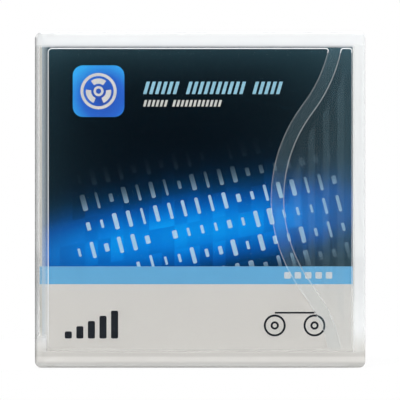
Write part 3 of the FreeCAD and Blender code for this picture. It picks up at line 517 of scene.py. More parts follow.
# %% [markdown]
# The cartridge's shells are moulded in opaque blue plastic with a fine spark-eroded texture, and
# the reel, brake and button in smoother natural plastics. `moulded` makes all of these: a colour
# that varies a little, a roughness, and a bump whose depth says how coarse the mould was.

# %% Moulded plastics
TEXTURE_DETAIL, TEXTURE_ROUGHNESS = 3.0, 0.1
FLOW_SIZE, FLOW_SHADE = 25.0, 0.86


def moulded(name, colour, roughness, texture_size, texture_depth):
    """An opaque moulded plastic; the texture's size and depth are in millimetres."""
    finish = Finish(name)
    texture = finish.noise(texture_size, TEXTURE_DETAIL)
    flow = finish.noise(FLOW_SIZE)
    shade = finish.mix(flow, tuple(share * FLOW_SHADE for share in colour), colour)
    rough = roughness + TEXTURE_ROUGHNESS * texture
    normal = finish.bump(texture, texture_depth)
    return finish.show(finish.shader(shade, Roughness=rough, Normal=normal))


dress(moulded("shell_plastic", paint(98, 150, 192), 0.5, 0.22, 0.02), "upper_shell", "lower_shell")
dress(moulded("reel_plastic", paint(222, 224, 220), 0.38, 0.6, 0.006), "reel_hub", "upper_flange")
natural = moulded("acetal_plastic", paint(236, 234, 224), 0.34, 0.8, 0.004)
dress(natural, "release_button", "brake_plate", "tape_clamp")
dress(moulded("door_plastic", paint(52, 56, 62), 0.46, 0.25, 0.015), "tape_door")
dress(moulded("tab_plastic", paint(200, 78, 48), 0.42, 0.3, 0.01), "write_protect_tab")

# %% [markdown]
# Metals are nearly all reflection, so their look comes from roughness. A turned or rolled part has
# fine streaks, made here by noise that is stretched along one axis of the piece.

# %% Metals
STREAK_WIDTH, STREAK_DEPTH, STREAK_SHADE, STREAK_ROUGHNESS = 0.12, 0.002, 0.8, 0.14


def drawn_metal(name, colour, roughness, stretch):
    """A metal with fine streaks; stretch is the streaks' length on each axis over their width."""
    finish = Finish(name)
    sizes = tuple(1 / (STREAK_WIDTH * MM * length) for length in stretch)
    stretched = finish.add("ShaderNodeMapping", {}, {"Vector": finish.coordinates, "Scale": sizes})
    sockets = {"Vector": stretched.outputs[0], "Scale": 1.0, "Detail": 2.0}
    streaks = Value(finish, finish.add("ShaderNodeTexNoise", {}, sockets).outputs["Fac"])
    worn = finish.mix(streaks, tuple(share * STREAK_SHADE for share in colour), colour)
    normal = finish.bump(streaks, STREAK_DEPTH)
    rough = roughness + STREAK_ROUGHNESS * streaks
    return finish.show(finish.shader(worn, Roughness=rough, Metallic=1.0, Normal=normal))


plated_steel = drawn_metal("plated_steel", paint(206, 208, 210), 0.16, (1, 1, 30))
spring_steel = drawn_metal("spring_steel", paint(190, 190, 188), 0.22, (6, 1, 6))
black_zinc = drawn_metal("screw_steel", paint(122, 124, 128), 0.3, (1, 6, 1))
dress(plated_steel, "hub_washer")
dress(spring_steel, "pin_latch")

# %% [markdown]
# Wound tape shows its edges as hundreds of fine rings. The distance from the reel's axle drives a
# wave whose crests are the rings, and its flat side is the smooth, dark coated film.

# %% Magnetic tape
RING_PITCH, RING_DEPTH = 0.35, 0.01
RING_SHARE, WEAR_SHARE, WEAR_SIZE = 0.6, 0.4, 6.0
TAPE_POLISH, TAPE_ROUGHNESS = 0.24, 0.2
reel_low, reel_high = box_mm("tape_pack")
reel_x = (reel_low.x + reel_high.x) / 2
reel_z = (reel_low.z + reel_high.z) / 2


def magnetic_tape():
    finish = Finish("magnetic_tape")
    x, _, z = finish.place()
    radius = ((x - reel_x) ** 2 + (z - reel_z) ** 2) ** 0.5
    rings = finish.math("SINE", radius * (2 * math.pi / RING_PITCH)) * 0.5 + 0.5
    uneven = finish.noise(WEAR_SIZE)
    paler = rings * RING_SHARE + uneven * WEAR_SHARE
    colour = finish.mix(paler, paint(38, 30, 27), paint(66, 56, 51))
    rough = TAPE_POLISH + TAPE_ROUGHNESS * uneven
    return finish.show(finish.shader(colour, Roughness=rough, Normal=finish.bump(rings, RING_DEPTH)))


dress(magnetic_tape(), "tape_pack", "leader_tape")

# %% [markdown]
# The cartridge's memory is a chip on a small board with a square coil round it, by which a drive
# reads it through the shell. How far a point is from the board's middle, on whichever side is the
# larger, has square contours, so a sine of that distance draws the coil's tracks.

# %% The memory chip's board
TRACK_TURNS, TRACK_LEVEL, TRACK_ZONE, TRACK_SOFT = 60, 0.3, (0.45, 0.92), 0.01
CHIP_SHARE = 0.28
LACQUER_ROUGHNESS, TRACK_ROUGHNESS, LACQUER_COAT = 0.25, 0.2, 0.6


def circuit_board():
    """Green lacquer with one square coil of copper track and a dark chip in its middle."""
    finish = Finish("circuit_board")
    x, _, z = finish.place()
    low, high = box_mm("memory_chip")
    middle_x, middle_z = (low.x + high.x) / 2, (low.z + high.z) / 2
    along = abs(z - middle_z) / (high.z - low.z) * 2
    up = abs(x - middle_x) / (high.x - low.x) * 2
    edge = along.larger(up)
    crest = finish.math("SINE", edge * TRACK_TURNS) > TRACK_LEVEL
    track = crest * edge.between(*TRACK_ZONE, TRACK_SOFT)
    base = finish.mix(track, paint(34, 98, 62), paint(176, 120, 64))
    colour = finish.mix(edge < CHIP_SHARE, base, paint(24, 24, 26))
    rough = LACQUER_ROUGHNESS + TRACK_ROUGHNESS * track
    return finish.show(finish.shader(colour, Roughness=rough, Coat_Weight=LACQUER_COAT * (1 - track)))


dress(circuit_board(), "memory_chip")

# %% [markdown]
# Geometry Nodes suit everything that follows a rule. `Recipe` builds such a tree with named inputs,
# and `cook` runs it once: it sets the inputs by their identifiers, turns the result into a plain
# mesh whose place is in its vertices, and drops the modifier. The geometry socket comes first,
# because a modifier hands its own mesh to the first input. Data is seen only once an object holds
# it and the scene lists that object, which `place_in_scene` does.

# %% Geometry Nodes helpers
WELD = 1e-7


class Recipe(Graph):
    """A Geometry Nodes tree that starts from places; finish(geometry) ends it."""

    def __init__(self, name, numbers, counts=()):
        super().__init__(bpy.data.node_groups.new(name, "GeometryNodeTree"))
        self.socket("Places", "Geometry")
        for title in numbers:
            self.socket(title, "Float")
        for title in counts:
            self.socket(title, "Int")
        self.socket("Finish", "Material")
        self.socket("Geometry", "Geometry", "OUTPUT")
        self.inputs = self.add("NodeGroupInput").outputs

    def socket(self, title, kind, way="INPUT"):
        self.tree.interface.new_socket(title, in_out=way, socket_type="NodeSocket" + kind)

    def given(self, title):
        return Value(self, self.inputs[title])

    def vector(self, x=0.0, y=0.0, z=0.0):
        return self.add("ShaderNodeCombineXYZ", {}, {0: x, 1: y, 2: z}).outputs[0]

    def chance(self, share, seed):
        """True for about that share of the places."""
        sockets = {"Probability": share, "Seed": seed}
        node = self.add("FunctionNodeRandomValue", {"data_type": "BOOLEAN"}, sockets)
        return Value(self, node.outputs["Value"])

    def drawn(self, low, high, seed):
        """A random number for each place."""
        node = self.add("FunctionNodeRandomValue", {"data_type": "FLOAT"}, {"Seed": seed})
        limits = {socket.name: socket for socket in node.inputs if socket.enabled}
        self.plug(limits["Min"], low)
        self.plug(limits["Max"], high)
        return Value(self, next(socket for socket in node.outputs if socket.enabled))

    def join(self, *parts):
        joined = self.add("GeometryNodeJoinGeometry")
        for part in parts:
            self.tree.links.new(part, joined.inputs[0])
        return joined.outputs[0]

    def plate(self, outline, thickness):
        """A closed plate: the outline filled, raised by a thickness, and shut at its back."""
        flat = self.add("GeometryNodeFillCurve", {"mode": "NGONS"}, {0: outline}).outputs[0]
        lifted = {"Mesh": flat, "Offset Scale": thickness, "Individual": False}
        raised = self.add("GeometryNodeExtrudeMesh", {}, lifted).outputs[0]
        back = self.add("GeometryNodeFlipFaces", {}, {0: flat}).outputs[0]
        closed = {"Geometry": self.join(raised, back), "Distance": WELD}
        return self.add("GeometryNodeMergeByDistance", {}, closed).outputs[0]

    def finish(self, geometry):
        """Ends the tree: instances become real faces, which get the piece's finish."""
        real = self.add("GeometryNodeRealizeInstances", {}, {0: geometry}).outputs[0]
        coat = {"Geometry": real, "Material": self.inputs["Finish"]}
        painted = self.add("GeometryNodeSetMaterial", {}, coat).outputs[0]
        self.plug(self.add("NodeGroupOutput").inputs["Geometry"], painted)


def place_in_scene(name, data):
    """An object in the scene for a mesh, a lamp or a camera."""
    placed = bpy.data.objects.new(name, data)
    bpy.context.scene.collection.objects.link(placed)
    return placed


def seat(piece, body):
    """Lets a piece ride on a body, and prints how many faces it has."""
    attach(piece, body)
    print(piece.name, "on", body, "with", len(piece.data.polygons), "faces")
    return piece


def cook(name, recipe, finish, body, slot, places=(), **numbers):
    """Runs a recipe with these inputs and returns the piece as a plain mesh riding on a body."""
    points = bpy.data.meshes.new(name + "_places")
    points.from_pydata([Vector(place) * MM for place in places], [], [])
    helper = place_in_scene(name + "_recipe", points)
    modifier = helper.modifiers.new("recipe", "NODES")
    modifier.node_group = recipe.tree
    for item in recipe.tree.interface.items_tree:
        if item.in_out == "INPUT" and item.name != "Places":
            modifier[item.identifier] = finish if item.name == "Finish" else numbers[item.name]
    bpy.context.view_layer.update()
    evaluated = helper.evaluated_get(bpy.context.evaluated_depsgraph_get())
    mesh = bpy.data.meshes.new_from_object(evaluated)
    bpy.data.objects.remove(helper)
    bpy.data.meshes.remove(points)
    return seat(place_in_scene(name, mesh), body)


# %% [markdown]
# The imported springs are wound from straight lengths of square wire, to keep the part light. The
# real ones are round wire, so each is drawn again: a spiral curve with a small circle swept along
# it.

# %% Springs
STEPS_PER_TURN, WIRE_SIDES = 40, 10


def spring_recipe():
    recipe = Recipe("coil_spring", ("Radius", "Wire", "Turns", "Length"))
    coil = {
        "Resolution": STEPS_PER_TURN,
        "Rotations": recipe.given("Turns"),
        "Start Radius": recipe.given("Radius"),
        "End Radius": recipe.given("Radius"),
        "Height": recipe.given("Length"),
    }
    path = recipe.add("GeometryNodeCurveSpiral", {}, coil).outputs[0]
    round_wire = {"Resolution": WIRE_SIDES, "Radius": recipe.given("Wire")}
    section = recipe.add("GeometryNodeCurvePrimitiveCircle", {}, round_wire).outputs[0]
    swept = {"Curve": path, "Profile Curve": section, "Fill Caps": True}
    tube = recipe.add("GeometryNodeCurveToMesh", {}, swept).outputs[0]
    smooth = recipe.add("GeometryNodeSetShadeSmooth", {}, {0: tube}).outputs[0]
    recipe.finish(smooth)
    return recipe


def turn_to(piece, axis, start):
    """Lays a piece built along z at the origin along another axis, from a start in millimetres."""
    turn = Vector((0, 0, 1)).rotation_difference(Vector(axis)).to_matrix().to_4x4()
    piece.data.transform(Matrix.Translation(Vector(start) * MM) @ turn)


def spring(name, node, axis, turns, wire, travel, fixed_at_end):
    """A round-wire spring in the place of a packed one."""
    low, high = box_mm(node)
    middle, span = (low + high) / 2, high - low
    length = span.dot(Vector(axis))
    width = min(side for side, along in zip(span, axis) if not along)
    numbers = {
        "Radius": (width - wire) / 2 * MM,
        "Wire": wire / 2 * MM,
        "Turns": turns,
        "Length": (length - wire) * MM,
    }
    piece = cook(name, springs, spring_steel, "root", "spring_steel", **numbers)
    turn_to(piece, axis, middle - Vector(axis) * (length - wire) / 2)
    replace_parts(piece, node)
    anchor = middle + Vector(axis) * (length / 2 if fixed_at_end else -length / 2)
    tuple(anchor * MM)
    (length - travel) / length
    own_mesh(piece)


springs = spring_recipe()
spring(
    "brake_coil",
    "brake_spring",
    axis=(0, 1, 0),
    turns=4.5,
    wire=0.8,
    travel=2.0,
    fixed_at_end=False,
)
spring(
    "door_coil",
    "door_spring",
    axis=(1, 0, 0),
    turns=14.0,
    wire=0.3,
    travel=19.5,
    fixed_at_end=True,
)

# %% [markdown]
# Four screws hold the shells together from below. The recipe makes one screw that points along z:
# a pan head whose upper ring is drawn in, a six-lobed socket taken out of it by a Mesh Boolean,
# and a plain shank. It then turns the screw over to the cartridge's underside and sets one at each
# of the four places.

# %% Screws
HEAD_SIDES, HEAD_RINGS, SHANK_SIDES = 40, 4, 24
HEAD_DRAWN_IN, SOCKET_LOBES, LOBE_DEPTH = 0.3, 6, 0.68
SCREW_HEAD_Y = cart_high.y - 0.6
SCREW_PLACES = [
    (cart_low.x + 14.5, SCREW_HEAD_Y, cart_low.z + 5.6),
    (cart_high.x - 6.5, SCREW_HEAD_Y, cart_low.z + 6.5),
    (cart_high.x - 6.5, SCREW_HEAD_Y, cart_high.z - 6.5),
    (cart_low.x + 4.6, SCREW_HEAD_Y, cart_high.z - 14.0),
]


def screw_recipe():
    head = ("HeadRadius", "HeadHeight", "SocketRadius", "SocketDepth")
    recipe = Recipe("pan_head_screw", (*head, "ShankRadius", "ShankLength"))
    head_height, socket_radius = recipe.given("HeadHeight"), recipe.given("SocketRadius")
    sides = {
        "Vertices": HEAD_SIDES,
        "Side Segments": HEAD_RINGS,
        "Radius": recipe.given("HeadRadius"),
        "Depth": head_height,
    }
    blank = recipe.add("GeometryNodeMeshCylinder", {}, sides).outputs["Mesh"]
    position = recipe.add("GeometryNodeInputPosition").outputs[0]
    height = recipe.parts(position)[2]
    share = height / head_height + 0.5
    narrowed = 1 - HEAD_DRAWN_IN * share ** 3
    drawn_in = {0: position, 1: recipe.vector(narrowed, narrowed, 1.0)}
    rounder = recipe.add("ShaderNodeVectorMath", {"operation": "MULTIPLY"}, drawn_in).outputs[0]
    pan = recipe.add("GeometryNodeSetPosition", {}, {"Geometry": blank, "Position": rounder}).outputs[0]

    reach = head_height / 2 + recipe.given("ShankLength")
    rod = {"Vertices": SHANK_SIDES, "Radius": recipe.given("ShankRadius"), "Depth": reach}
    shank = recipe.add("GeometryNodeMeshCylinder", {}, rod).outputs["Mesh"]
    hung = {"Geometry": shank, "Translation": recipe.vector(z=reach * -0.5)}
    lower = recipe.add("GeometryNodeTransform", {}, hung).outputs[0]
    union = recipe.add("GeometryNodeMeshBoolean", {"operation": "UNION"})
    for part in (pan, lower):
        recipe.plug(union.inputs["Mesh 2"], part)

    valley = socket_radius * LOBE_DEPTH
    star = {"Points": SOCKET_LOBES, "Inner Radius": valley, "Outer Radius": socket_radius}
    lobes = recipe.add("GeometryNodeCurveStar", {}, star).outputs["Curve"]
    sunk = recipe.vector(z=head_height / 2 - recipe.given("SocketDepth"))
    drill = {"Geometry": recipe.plate(lobes, head_height), "Translation": sunk}
    placed = recipe.add("GeometryNodeTransform", {}, drill).outputs[0]
    cut = {"Mesh 1": union.outputs[0], "Mesh 2": placed}
    whole = recipe.add("GeometryNodeMeshBoolean", {"operation": "DIFFERENCE"}, cut).outputs[0]
    lowered = {"Geometry": whole, "Translation": recipe.vector(z=head_height * -0.5)}
    screw = recipe.add("GeometryNodeTransform", {}, lowered).outputs[0]
    head_back = (-math.pi / 2, 0.0, 0.0)
    laid = {"Points": recipe.inputs["Places"], "Instance": screw, "Rotation": head_back}
    recipe.finish(recipe.add("GeometryNodeInstanceOnPoints", {}, laid).outputs[0])
    return recipe


head_screws = cook(
    "head_screws",
    screw_recipe(),
    black_zinc,
    "root",
    "screw_steel",
    places=SCREW_PLACES,
    HeadRadius=1.9 * MM,
    HeadHeight=1.3 * MM,
    ShankRadius=1.0 * MM,
    ShankLength=10.0 * MM,
    SocketRadius=0.85 * MM,
    SocketDepth=0.7 * MM,
)
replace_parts(head_screws, "shell_screws")

# %% [markdown]
# The leader pin is turned steel. Its outline is a list of radii and lengths from one end to the
# middle; the other half mirrors it, and the outline is spun about the pin's axis.

# %% Leader pin
PIN_END = [(0.0, 0.0), (2.35, 0.0), (2.5, 0.15), (2.5, 1.5), (2.4, 1.6)]
PIN_GROOVE = [(1.3, 1.6), (1.3, 2.6), (1.8, 2.6), (1.9, 2.7)]
PIN_STEPS, PIN_WELD, PIN_SHARP = 40, 1e-4, math.radians(30)


def shaped(name, form, finish):
    """An object with one finish from a shape that is built in bmesh."""
    mesh = bpy.data.meshes.new(name)
    form.to_mesh(mesh)
    form.free()
    mesh.materials.append(finish)
    return place_in_scene(name, mesh)


def leader_pin():
    low, high = box_mm("leader_pin")
    length = high.y - low.y
    half = PIN_END + PIN_GROOVE
    outline = half + [(radius, length - along) for radius, along in reversed(half)]
    middle = (low + high) / 2
    form = bmesh.new()
    points = [form.verts.new((radius, along, 0)) for radius, along in outline]
    edges = [form.edges.new(pair) for pair in zip(points, points[1:])]
    turned = {"cent": (0, 0, 0), "axis": (0, 1, 0), "angle": math.tau, "steps": PIN_STEPS}
    bmesh.ops.spin(form, geom=points + edges, **turned)
    bmesh.ops.remove_doubles(form, verts=form.verts, dist=PIN_WELD)
    bmesh.ops.recalc_face_normals(form, faces=form.faces)
    place = Matrix.Scale(MM, 4) @ Matrix.Translation((middle.x, low.y, middle.z))
    bmesh.ops.transform(form, matrix=place, verts=form.verts)
    pin = shaped("turned_pin", form, plated_steel)
    pin.data.set_sharp_from_angle(angle=PIN_SHARP)
    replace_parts(seat(pin, "root"), "leader_pin")


leader_pin()

# %% [markdown]
# The small print is drawn as very thin pieces of ink, so that it stays crisp at any size. It lies in
# the hair's breadth between the card and the cover. Printing ink is never quite even, so a soft
# noise makes it a little darker in places. The ink on the glow has to sink into the card where the
# glow ends, so it mixes the card's own colour sum with a pale blue.

# %% Ink
INK_FACE_Y, INK_THICKNESS = card_low.y - 0.04, 0.02
BLOTCH_SIZE, BLOTCH_SHADE = 1.5, 0.9
GLOW_SHOWS, STRONGEST_INK = (-0.01, 0.6), 0.82
# Where the ink starts to fade towards the right, and by how much: a painted veil for the matt panel's haze.
FAINT_FROM_X, FAINT_SHARE = (16.0, 46.0), 0.3


def ink(name, colour):
    """Even ink of one colour, a little darker in blotches."""
    finish = Finish(name)
    blotch = finish.noise(BLOTCH_SIZE)
    shade = finish.mix(blotch, tuple(share * BLOTCH_SHADE for share in colour), colour)
    return finish.show(finish.shader(shade, Roughness=CARD_ROUGHNESS, Specular_IOR_Level=CARD_SHEEN))


def fading_ink():
    """Pale ink on the glow, which sinks into the card's own colour where the glow ends."""
    finish = Finish("data_ink")
    x, _, z = finish.place()
    # The ink is painted fainter towards the right, for the light that the cover's matt panel scatters over
    # it.
    strength = STRONGEST_INK - FAINT_SHARE * x.step(*FAINT_FROM_X)
    shown = glow(x, z).step(*GLOW_SHOWS) * (z > BAND_TOP) * strength
    colour = finish.mix(shown, card_colour(finish, x, z), paint(178, 212, 230))
    return finish.show(finish.shader(colour, Roughness=CARD_ROUGHNESS, Specular_IOR_Level=CARD_SHEEN))


# %% [markdown]
# Rows of leaning bars, like the pulses recorded on a tape, follow the same tilted line as the
# card's blocks. A grid of points is tilted to that line, and each point gets a round-ended bar.
# Seeded random numbers leave some bars out and choose each bar's width and length. A bar whose
# middle lies well inside the band is left out too, because its ink couldn't be told from the band.

# %% Rows of data marks
KEPT_SHARE, SHORT_SHARE, SHORT_LENGTH, WIDTHS = 0.94, 0.45, 0.5, (0.7, 1.5)
ROUND_END, ROUND_STEPS = 0.4, 3


def pulse_recipe():
    sizes = ("RowPitch", "ColumnPitch", "Slope", "Wide", "Tall", "Lean", "Base", "Lowest", "Face", "Depth")
    recipe = Recipe("pulse_rows", sizes, ("Rows", "Columns", "Seed"))
    rows, columns, slope = recipe.given("Rows"), recipe.given("Columns"), recipe.given("Slope")
    depth_of_rows = recipe.given("RowPitch") * (rows - 1)
    grid_size = {
        "Size X": recipe.given("ColumnPitch") * (columns - 1),
        "Size Y": depth_of_rows,
        "Vertices X": columns,
        "Vertices Y": rows,
    }
    grid = recipe.add("GeometryNodeMeshGrid", {}, grid_size).outputs["Mesh"]
    here = recipe.add("GeometryNodeInputPosition").outputs[0]
    x, row, _ = recipe.parts(here)
    shifted = x - row * slope
    height = recipe.given("Base") + depth_of_rows * 0.5 + row + shifted * slope
    tilted = {"Geometry": grid, "Position": recipe.vector(shifted, recipe.given("Face"), height)}
    points = recipe.add("GeometryNodeSetPosition", {}, tilted).outputs[0]

    size = {"Width": recipe.given("Wide"), "Height": recipe.given("Tall")}
    outline = recipe.add("GeometryNodeCurvePrimitiveQuadrilateral", {}, size).outputs[0]
    corner = {"Curve": outline, "Radius": recipe.given("Wide") * ROUND_END, "Count": ROUND_STEPS}
    rounded = recipe.add("GeometryNodeFilletCurve", {"mode": "POLY"}, corner).outputs[0]
    flat = recipe.plate(rounded, recipe.given("Depth"))
    standing = {"Geometry": flat, "Rotation": (math.pi / 2, 0.0, 0.0)}
    mark = recipe.add("GeometryNodeTransform", {}, standing).outputs[0]

    seed = recipe.given("Seed")
    kept = recipe.chance(KEPT_SHARE, seed) * (height > recipe.given("Lowest"))
    long_mark = recipe.drawn(0.0, 1.0, seed + 1) > SHORT_SHARE
    width = recipe.drawn(*WIDTHS, seed + 2)
    laid = {
        "Points": points,
        "Selection": kept,
        "Instance": mark,
        "Rotation": recipe.vector(y=recipe.given("Lean") * -1),
        "Scale": recipe.vector(width, 1.0, SHORT_LENGTH + (1 - SHORT_LENGTH) * long_mark),
    }
    recipe.finish(recipe.add("GeometryNodeInstanceOnPoints", {}, laid).outputs[0])
    return recipe


cook(
    "data_marks",
    pulse_recipe(),
    fading_ink(),
    "lid",
    "printed_card",
    Rows=6,
    Columns=21,
    RowPitch=BLOCK_TALL * MM,
    ColumnPitch=4.6 * MM,
    Slope=ROW_SLOPE,
    Wide=1.15 * MM,
    Tall=5.6 * MM,
    Lean=0.26,
    Base=30.0 * MM,
    Lowest=(BAND_TOP - 2.0) * MM,
    Face=(INK_FACE_Y + INK_THICKNESS) * MM,
    Depth=INK_THICKNESS * MM,
    Seed=11,
)

# %% [markdown]
# The rest of the print is a badge with a tape reel on it, plain rules where a title would stand, a
# row of squares on the band, and two dark pictograms on the foot: a stack of bars that shows how
# much fits on the tape, and the tape's path between two reels. Each is a list of outlines in the
# card's plane, and `inked` gives all the outlines of one piece the thickness of ink.

# %% Outlines
CORNER_STEPS, DEGREES_PER_STEP, FEWEST_STEPS = 6, 8, 6
INK_WELD = 0.001 * MM


def around(x, z, radius, turn):
    """The place on a circle at a turn in radians."""
    return x + radius * math.cos(turn), z + radius * math.sin(turn)


def rounded_bar(x, z, wide, tall, radius):
    """A rectangle with round corners, from its lower left corner."""
    left, right = x + radius, x + wide - radius
    low, high = z + radius, z + tall - radius
    middles = [(right, high), (left, high), (left, low), (right, low)]
    return [
        around(*middle, radius, math.pi / 2 * (quarter + i / CORNER_STEPS))
        for quarter, middle in enumerate(middles)
        for i in range(CORNER_STEPS + 1)
    ]


def arc_band(x, z, outer, inner, start=0, sweep=360):
    """A ring, or a stretch of one, as a row of four-sided outlines; its angles are in degrees."""
    steps = max(FEWEST_STEPS, round(sweep / DEGREES_PER_STEP))
    turns = [math.radians(start + sweep * i / steps) for i in range(steps + 1)]
    rays = [(around(x, z, outer, turn), around(x, z, inner, turn)) for turn in turns]
    return [[*first, *reversed(second)] for first, second in zip(rays, rays[1:])]


def inked(name, outlines, finish, lift=0.0):
    """One thin piece of ink from several outlines; lift raises it off the ink below it."""
    form = bmesh.new()
    back = INK_FACE_Y + INK_THICKNESS - lift
    for outline in outlines:
        form.faces.new([form.verts.new(Vector((x, back, z)) * MM) for x, z in outline])
    bmesh.ops.remove_doubles(form, verts=form.verts, dist=INK_WELD)
    top = bmesh.ops.extrude_face_region(form, geom=form.faces[:])["geom"]
    moved = [part for part in top if isinstance(part, bmesh.types.BMVert)]
    bmesh.ops.translate(form, verts=moved, vec=Vector((0, -INK_THICKNESS, 0)) * MM)
    bmesh.ops.recalc_face_normals(form, faces=form.faces)
    seat(shaped(name, form, finish), "lid")


# %% [markdown]
# The badge is a rounded square of blue with a tape reel on it: an outer rim, three windows and a
# hub. Its blue is deep in the middle, and a colour ramp over the distance from there makes it
# brighter towards one corner.

# %% Badge
BADGE_X, BADGE_Z, BADGE_HALF, BADGE_CORNER = -34.2, 93.2, 8.7, 3.4
DEEP_X, DEEP_Z, DEEP_SPREAD = BADGE_X + 1.5, BADGE_Z - 2.0, 0.72
BADGE_SINK, REEL_LIFT = -0.015, 0.012
REEL_RIM, REEL_WINDOW, REEL_HUB = (6.1, 5.1), (4.3, 2.5), (1.7, 0.9)
WINDOW_STARTS, WINDOW_SWEEP = (53, 173, 293), 74
badge_stops = [(0.0, paint(0, 62, 168)), (0.6, paint(0, 96, 206)), (1.0, paint(30, 168, 240))]


def badge_ink():
    """Blue that is deep in the middle and bright towards the upper left edge."""
    finish = Finish("badge_ink")
    x, _, z = finish.place()
    away_x, away_z = (x - DEEP_X) / BADGE_HALF, (z - DEEP_Z) / BADGE_HALF
    away = (away_x * away_x + away_z * away_z) ** 0.5 * DEEP_SPREAD
    blue = finish.add("ShaderNodeValToRGB", {"stops": badge_stops}, {"Fac": away}).outputs["Color"]
    return finish.show(finish.shader(blue, Roughness=CARD_ROUGHNESS))


badge_size = (BADGE_HALF * 2, BADGE_HALF * 2, BADGE_CORNER)
badge_square = rounded_bar(BADGE_X - BADGE_HALF, BADGE_Z - BADGE_HALF, *badge_size)
inked("badge_field", [badge_square], badge_ink(), lift=BADGE_SINK)

pale_ink = ink("pale_ink", paint(214, 214, 210))
badge_reel = arc_band(BADGE_X, BADGE_Z, *REEL_RIM) + arc_band(BADGE_X, BADGE_Z, *REEL_HUB)
for window_start in WINDOW_STARTS:
    badge_reel += arc_band(BADGE_X, BADGE_Z, *REEL_WINDOW, window_start, WINDOW_SWEEP)
inked("badge_reel", badge_reel, pale_ink, lift=REEL_LIFT)

# %% Title stripes
TITLE_LEFT_X = -19.2
TITLE = {"z0": 92.2, "z1": 96.4, "wide": 1.15, "pitch": 2.0, "parting": 2.4, "lean": 1.2}
SUBTITLE = {"z0": 88.0, "z1": 90.2, "wide": 0.8, "pitch": 1.4, "parting": 1.4, "lean": 0.6}


def stripes(counts, z0, z1, wide, pitch, parting, lean):
    """Leaning bars in groups of these counts, parted by a wider gap, on one line."""
    outlines, x = [], TITLE_LEFT_X
    for count in counts:
        for _ in range(count):
            outlines.append([(x, z0), (x + wide, z0), (x + wide + lean, z1), (x + lean, z1)])
            x += pitch
        x += parting
    return outlines


inked("title_stripes", stripes((6, 10, 5), **TITLE), ink("sky_ink", paint(150, 198, 220)))
inked("subtitle_stripes", stripes((6, 12), **SUBTITLE), pale_ink)

# %% Band squares
SQUARE_COUNT, SQUARE_SIDE, SQUARE_PITCH, SQUARE_CORNER = 5, 2.2, 3.5, 0.4
SQUARES_X, SQUARES_Z = 28.4, 30.0
square = (SQUARES_Z, SQUARE_SIDE, SQUARE_SIDE, SQUARE_CORNER)
squares = [rounded_bar(SQUARES_X + i * SQUARE_PITCH, *square) for i in range(SQUARE_COUNT)]
inked("band_squares", squares, ink("white_ink", paint(206, 214, 220)))

# %% Capacity bars and tape path
BAR_COUNT, BAR_WIDE, BAR_PITCH, BAR_CORNER = 5, 2.4, 3.9, 0.5
BARS_X, BARS_Z, SHORTEST_BAR, BAR_RISE = -45.6, 9.8, 2.4, 1.75
REEL_MIDDLES, PATH_Z, RIM_RADII, HUB_RADII = (25.2, 38.6), 14.2, (3.7, 3.0), (1.4, 0.7)
TAPE_GAP, TAPE_TALL, TAPE_CORNER = 0.3, 0.6, 0.25

dark_ink = ink("dark_ink", paint(38, 42, 48))
bars = [
    rounded_bar(BARS_X + i * BAR_PITCH, BARS_Z, BAR_WIDE, SHORTEST_BAR + i * BAR_RISE, BAR_CORNER)
    for i in range(BAR_COUNT)
]
inked("capacity_bars", bars, dark_ink)

first_reel, last_reel = REEL_MIDDLES
tape_z = PATH_Z + RIM_RADII[0] + TAPE_GAP
tape_path = [rounded_bar(first_reel, tape_z, last_reel - first_reel, TAPE_TALL, TAPE_CORNER)]
for reel_middle in REEL_MIDDLES:
    tape_path += arc_band(reel_middle, PATH_Z, *RIM_RADII) + arc_band(reel_middle, PATH_Z, *HUB_RADII)
inked("tape_path", tape_path, dark_ink)

# %% [markdown]
# The studio is plain: a white surround that only the camera and clear plastic see, a dim one for
# everything else, three broad lamps and a pale floor. Clear plastic shows little but its edges, and
# those edges are drawn by what the surround holds beside and above the case.

# %% Surround
WHITE = (1.0, 1.0, 1.0)
AMBIENT, DIMMEST_ROOM = 0.62, 0.015
CEILING_RISE, BACKDROP_RISE = (0.1, 0.5), (-0.1, 0.2)


def not_yet_scattered(graph, path):
    """1 for a ray that has met no matt surface yet, and 0 for the light that such surfaces gather."""
    return Value(graph, path["Diffuse Depth"]) < 0.5


def surround():
    world = bpy.data.worlds.new("surround")
    bpy.context.scene.world = world
    world.use_nodes = True
    sky = Graph(world.node_tree)
    path = sky.add("ShaderNodeLightPath").outputs
    direct = not_yet_scattered(sky, path)
    _, away, up = sky.parts(sky.add("ShaderNodeTexCoord").outputs["Generated"])
    white_part = up.step(*CEILING_RISE).larger(away.step(*BACKDROP_RISE))
    room = DIMMEST_ROOM + (1 - DIMMEST_ROOM) * white_part
    strength = Value(sky, path["Is Camera Ray"]).larger(direct * room).larger(AMBIENT * (1 - direct))
    background = sky.add("ShaderNodeBackground", {}, {"Color": WHITE, "Strength": strength}).outputs[0]
    sky.add("ShaderNodeOutputWorld", {}, {"Surface": background})
    print("surround nodes:", len(world.node_tree.nodes))


surround()

# %% [markdown]
# The floor is one large pale sheet that keeps the case's soft shadow. A matt sheet alone would show
# a grey horizon, so away from the case it turns into an even white for the camera, by Light Path's
# Is Camera Ray, which adds no light to the object.

# %% Floor
FLOOR_SIDE, FLOOR_FRONT, FLOOR_Z = 3.0, -0.04, -0.0002
FLOOR_GREY, FLOOR_ROUGHNESS = 0.86, 0.9
WHITE_FROM, WHITE_BEFORE = (90.0, 320.0), (16.0, 36.0)
SEEN_THROUGH_PLASTIC = 0.2


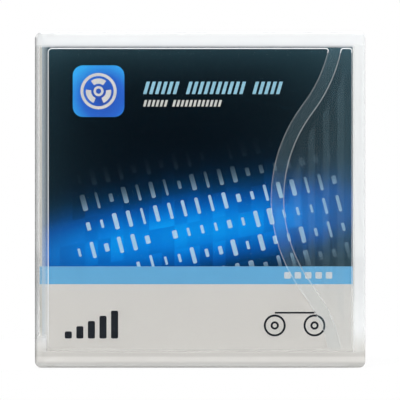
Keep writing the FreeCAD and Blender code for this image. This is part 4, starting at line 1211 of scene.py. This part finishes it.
def floor():
    finish = Finish("pale_floor")
    pale = finish.shader((FLOOR_GREY,) * 3, Roughness=FLOOR_ROUGHNESS)
    white = finish.add("ShaderNodeEmission", {}, {"Color": WHITE, "Strength": 1.0}).outputs[0]
    path = finish.add("ShaderNodeLightPath").outputs
    x, y, _ = finish.place()
    far = ((x * x + y * y) ** 0.5).step(*WHITE_FROM).larger((y * -1).step(*WHITE_BEFORE))
    by_camera = Value(finish, path["Is Camera Ray"]) * (FLOOR_GREY + (1 - FLOOR_GREY) * far)
    through = Value(finish, path["Is Transmission Ray"]) * not_yet_scattered(finish, path)
    mixed = finish.blend(by_camera.larger(through * SEEN_THROUGH_PLASTIC), pale, white)
    mesh = bpy.data.meshes.new("floor")
    across = (-FLOOR_SIDE, FLOOR_SIDE)
    near, beyond = [[(x, y, FLOOR_Z) for x in across] for y in (FLOOR_FRONT, FLOOR_SIDE)]
    mesh.from_pydata([*near, *reversed(beyond)], [], [(0, 1, 2, 3)])
    mesh.materials.append(finish.show(mixed))
    place_in_scene("floor", mesh)
    print("floor from y =", FLOOR_FRONT, "to", FLOOR_SIDE, "m")


floor()

# %% [markdown]
# Three softboxes stand far enough away to be broad, soft lights: the key at the upper left, a weak
# fill at the right, and one above and behind that draws the case's top edge. A lamp faces along its
# own -Z, so `to_track_quat` turns that axis towards the case.

# %% Lamps
# Each lamp's place and side in metres, and its power in watts.
LAMPS = {
    "key": ((-0.35, -0.9, 0.95), 0.7, 9.0),
    "fill": ((0.75, -0.8, 0.45), 0.6, 3.0),
    "rim": ((0.0, 0.7, 0.8), 0.6, 5.0),
}
case_middle_z = (case_low.z + case_high.z) / 2


def lamp(name, place, side, power):
    """A square softbox that faces the case's middle."""
    data = bpy.data.lights.new(name, "AREA")
    data.size = side
    data.energy = power
    softbox = place_in_scene(name, data)
    target = Vector((0, 0, case_middle_z * MM))
    softbox.location = place
    softbox.rotation_mode = "QUATERNION"
    softbox.rotation_quaternion = (target - Vector(place)).to_track_quat("-Z", "Y")


for lamp_name, settings in LAMPS.items():
    lamp(lamp_name, *settings)
print("lamps:", ", ".join(LAMPS))

# %% [markdown]
# A small product is shown without much perspective, so the camera stands 1.5 m away with a long
# lens, level with the case's middle. The lens follows from how wide a field it has to frame there.

# %% Camera
CAMERA_DISTANCE, FRAME_WIDTH, SENSOR_WIDTH = 1500.0, 134.72, 36.0


def camera():
    data = bpy.data.cameras.new("camera")
    data.sensor_width = SENSOR_WIDTH
    data.lens = SENSOR_WIDTH * CAMERA_DISTANCE / FRAME_WIDTH
    eye = place_in_scene("camera", data)
    eye.location = Vector((0, case_low.y - CAMERA_DISTANCE, case_middle_z)) * MM
    eye.rotation_euler = (math.pi / 2, 0, 0)
    bpy.context.scene.camera = eye
    print("lens", round(data.lens), "mm")


camera()
bpy.context.scene.view_settings.view_transform = "Standard"
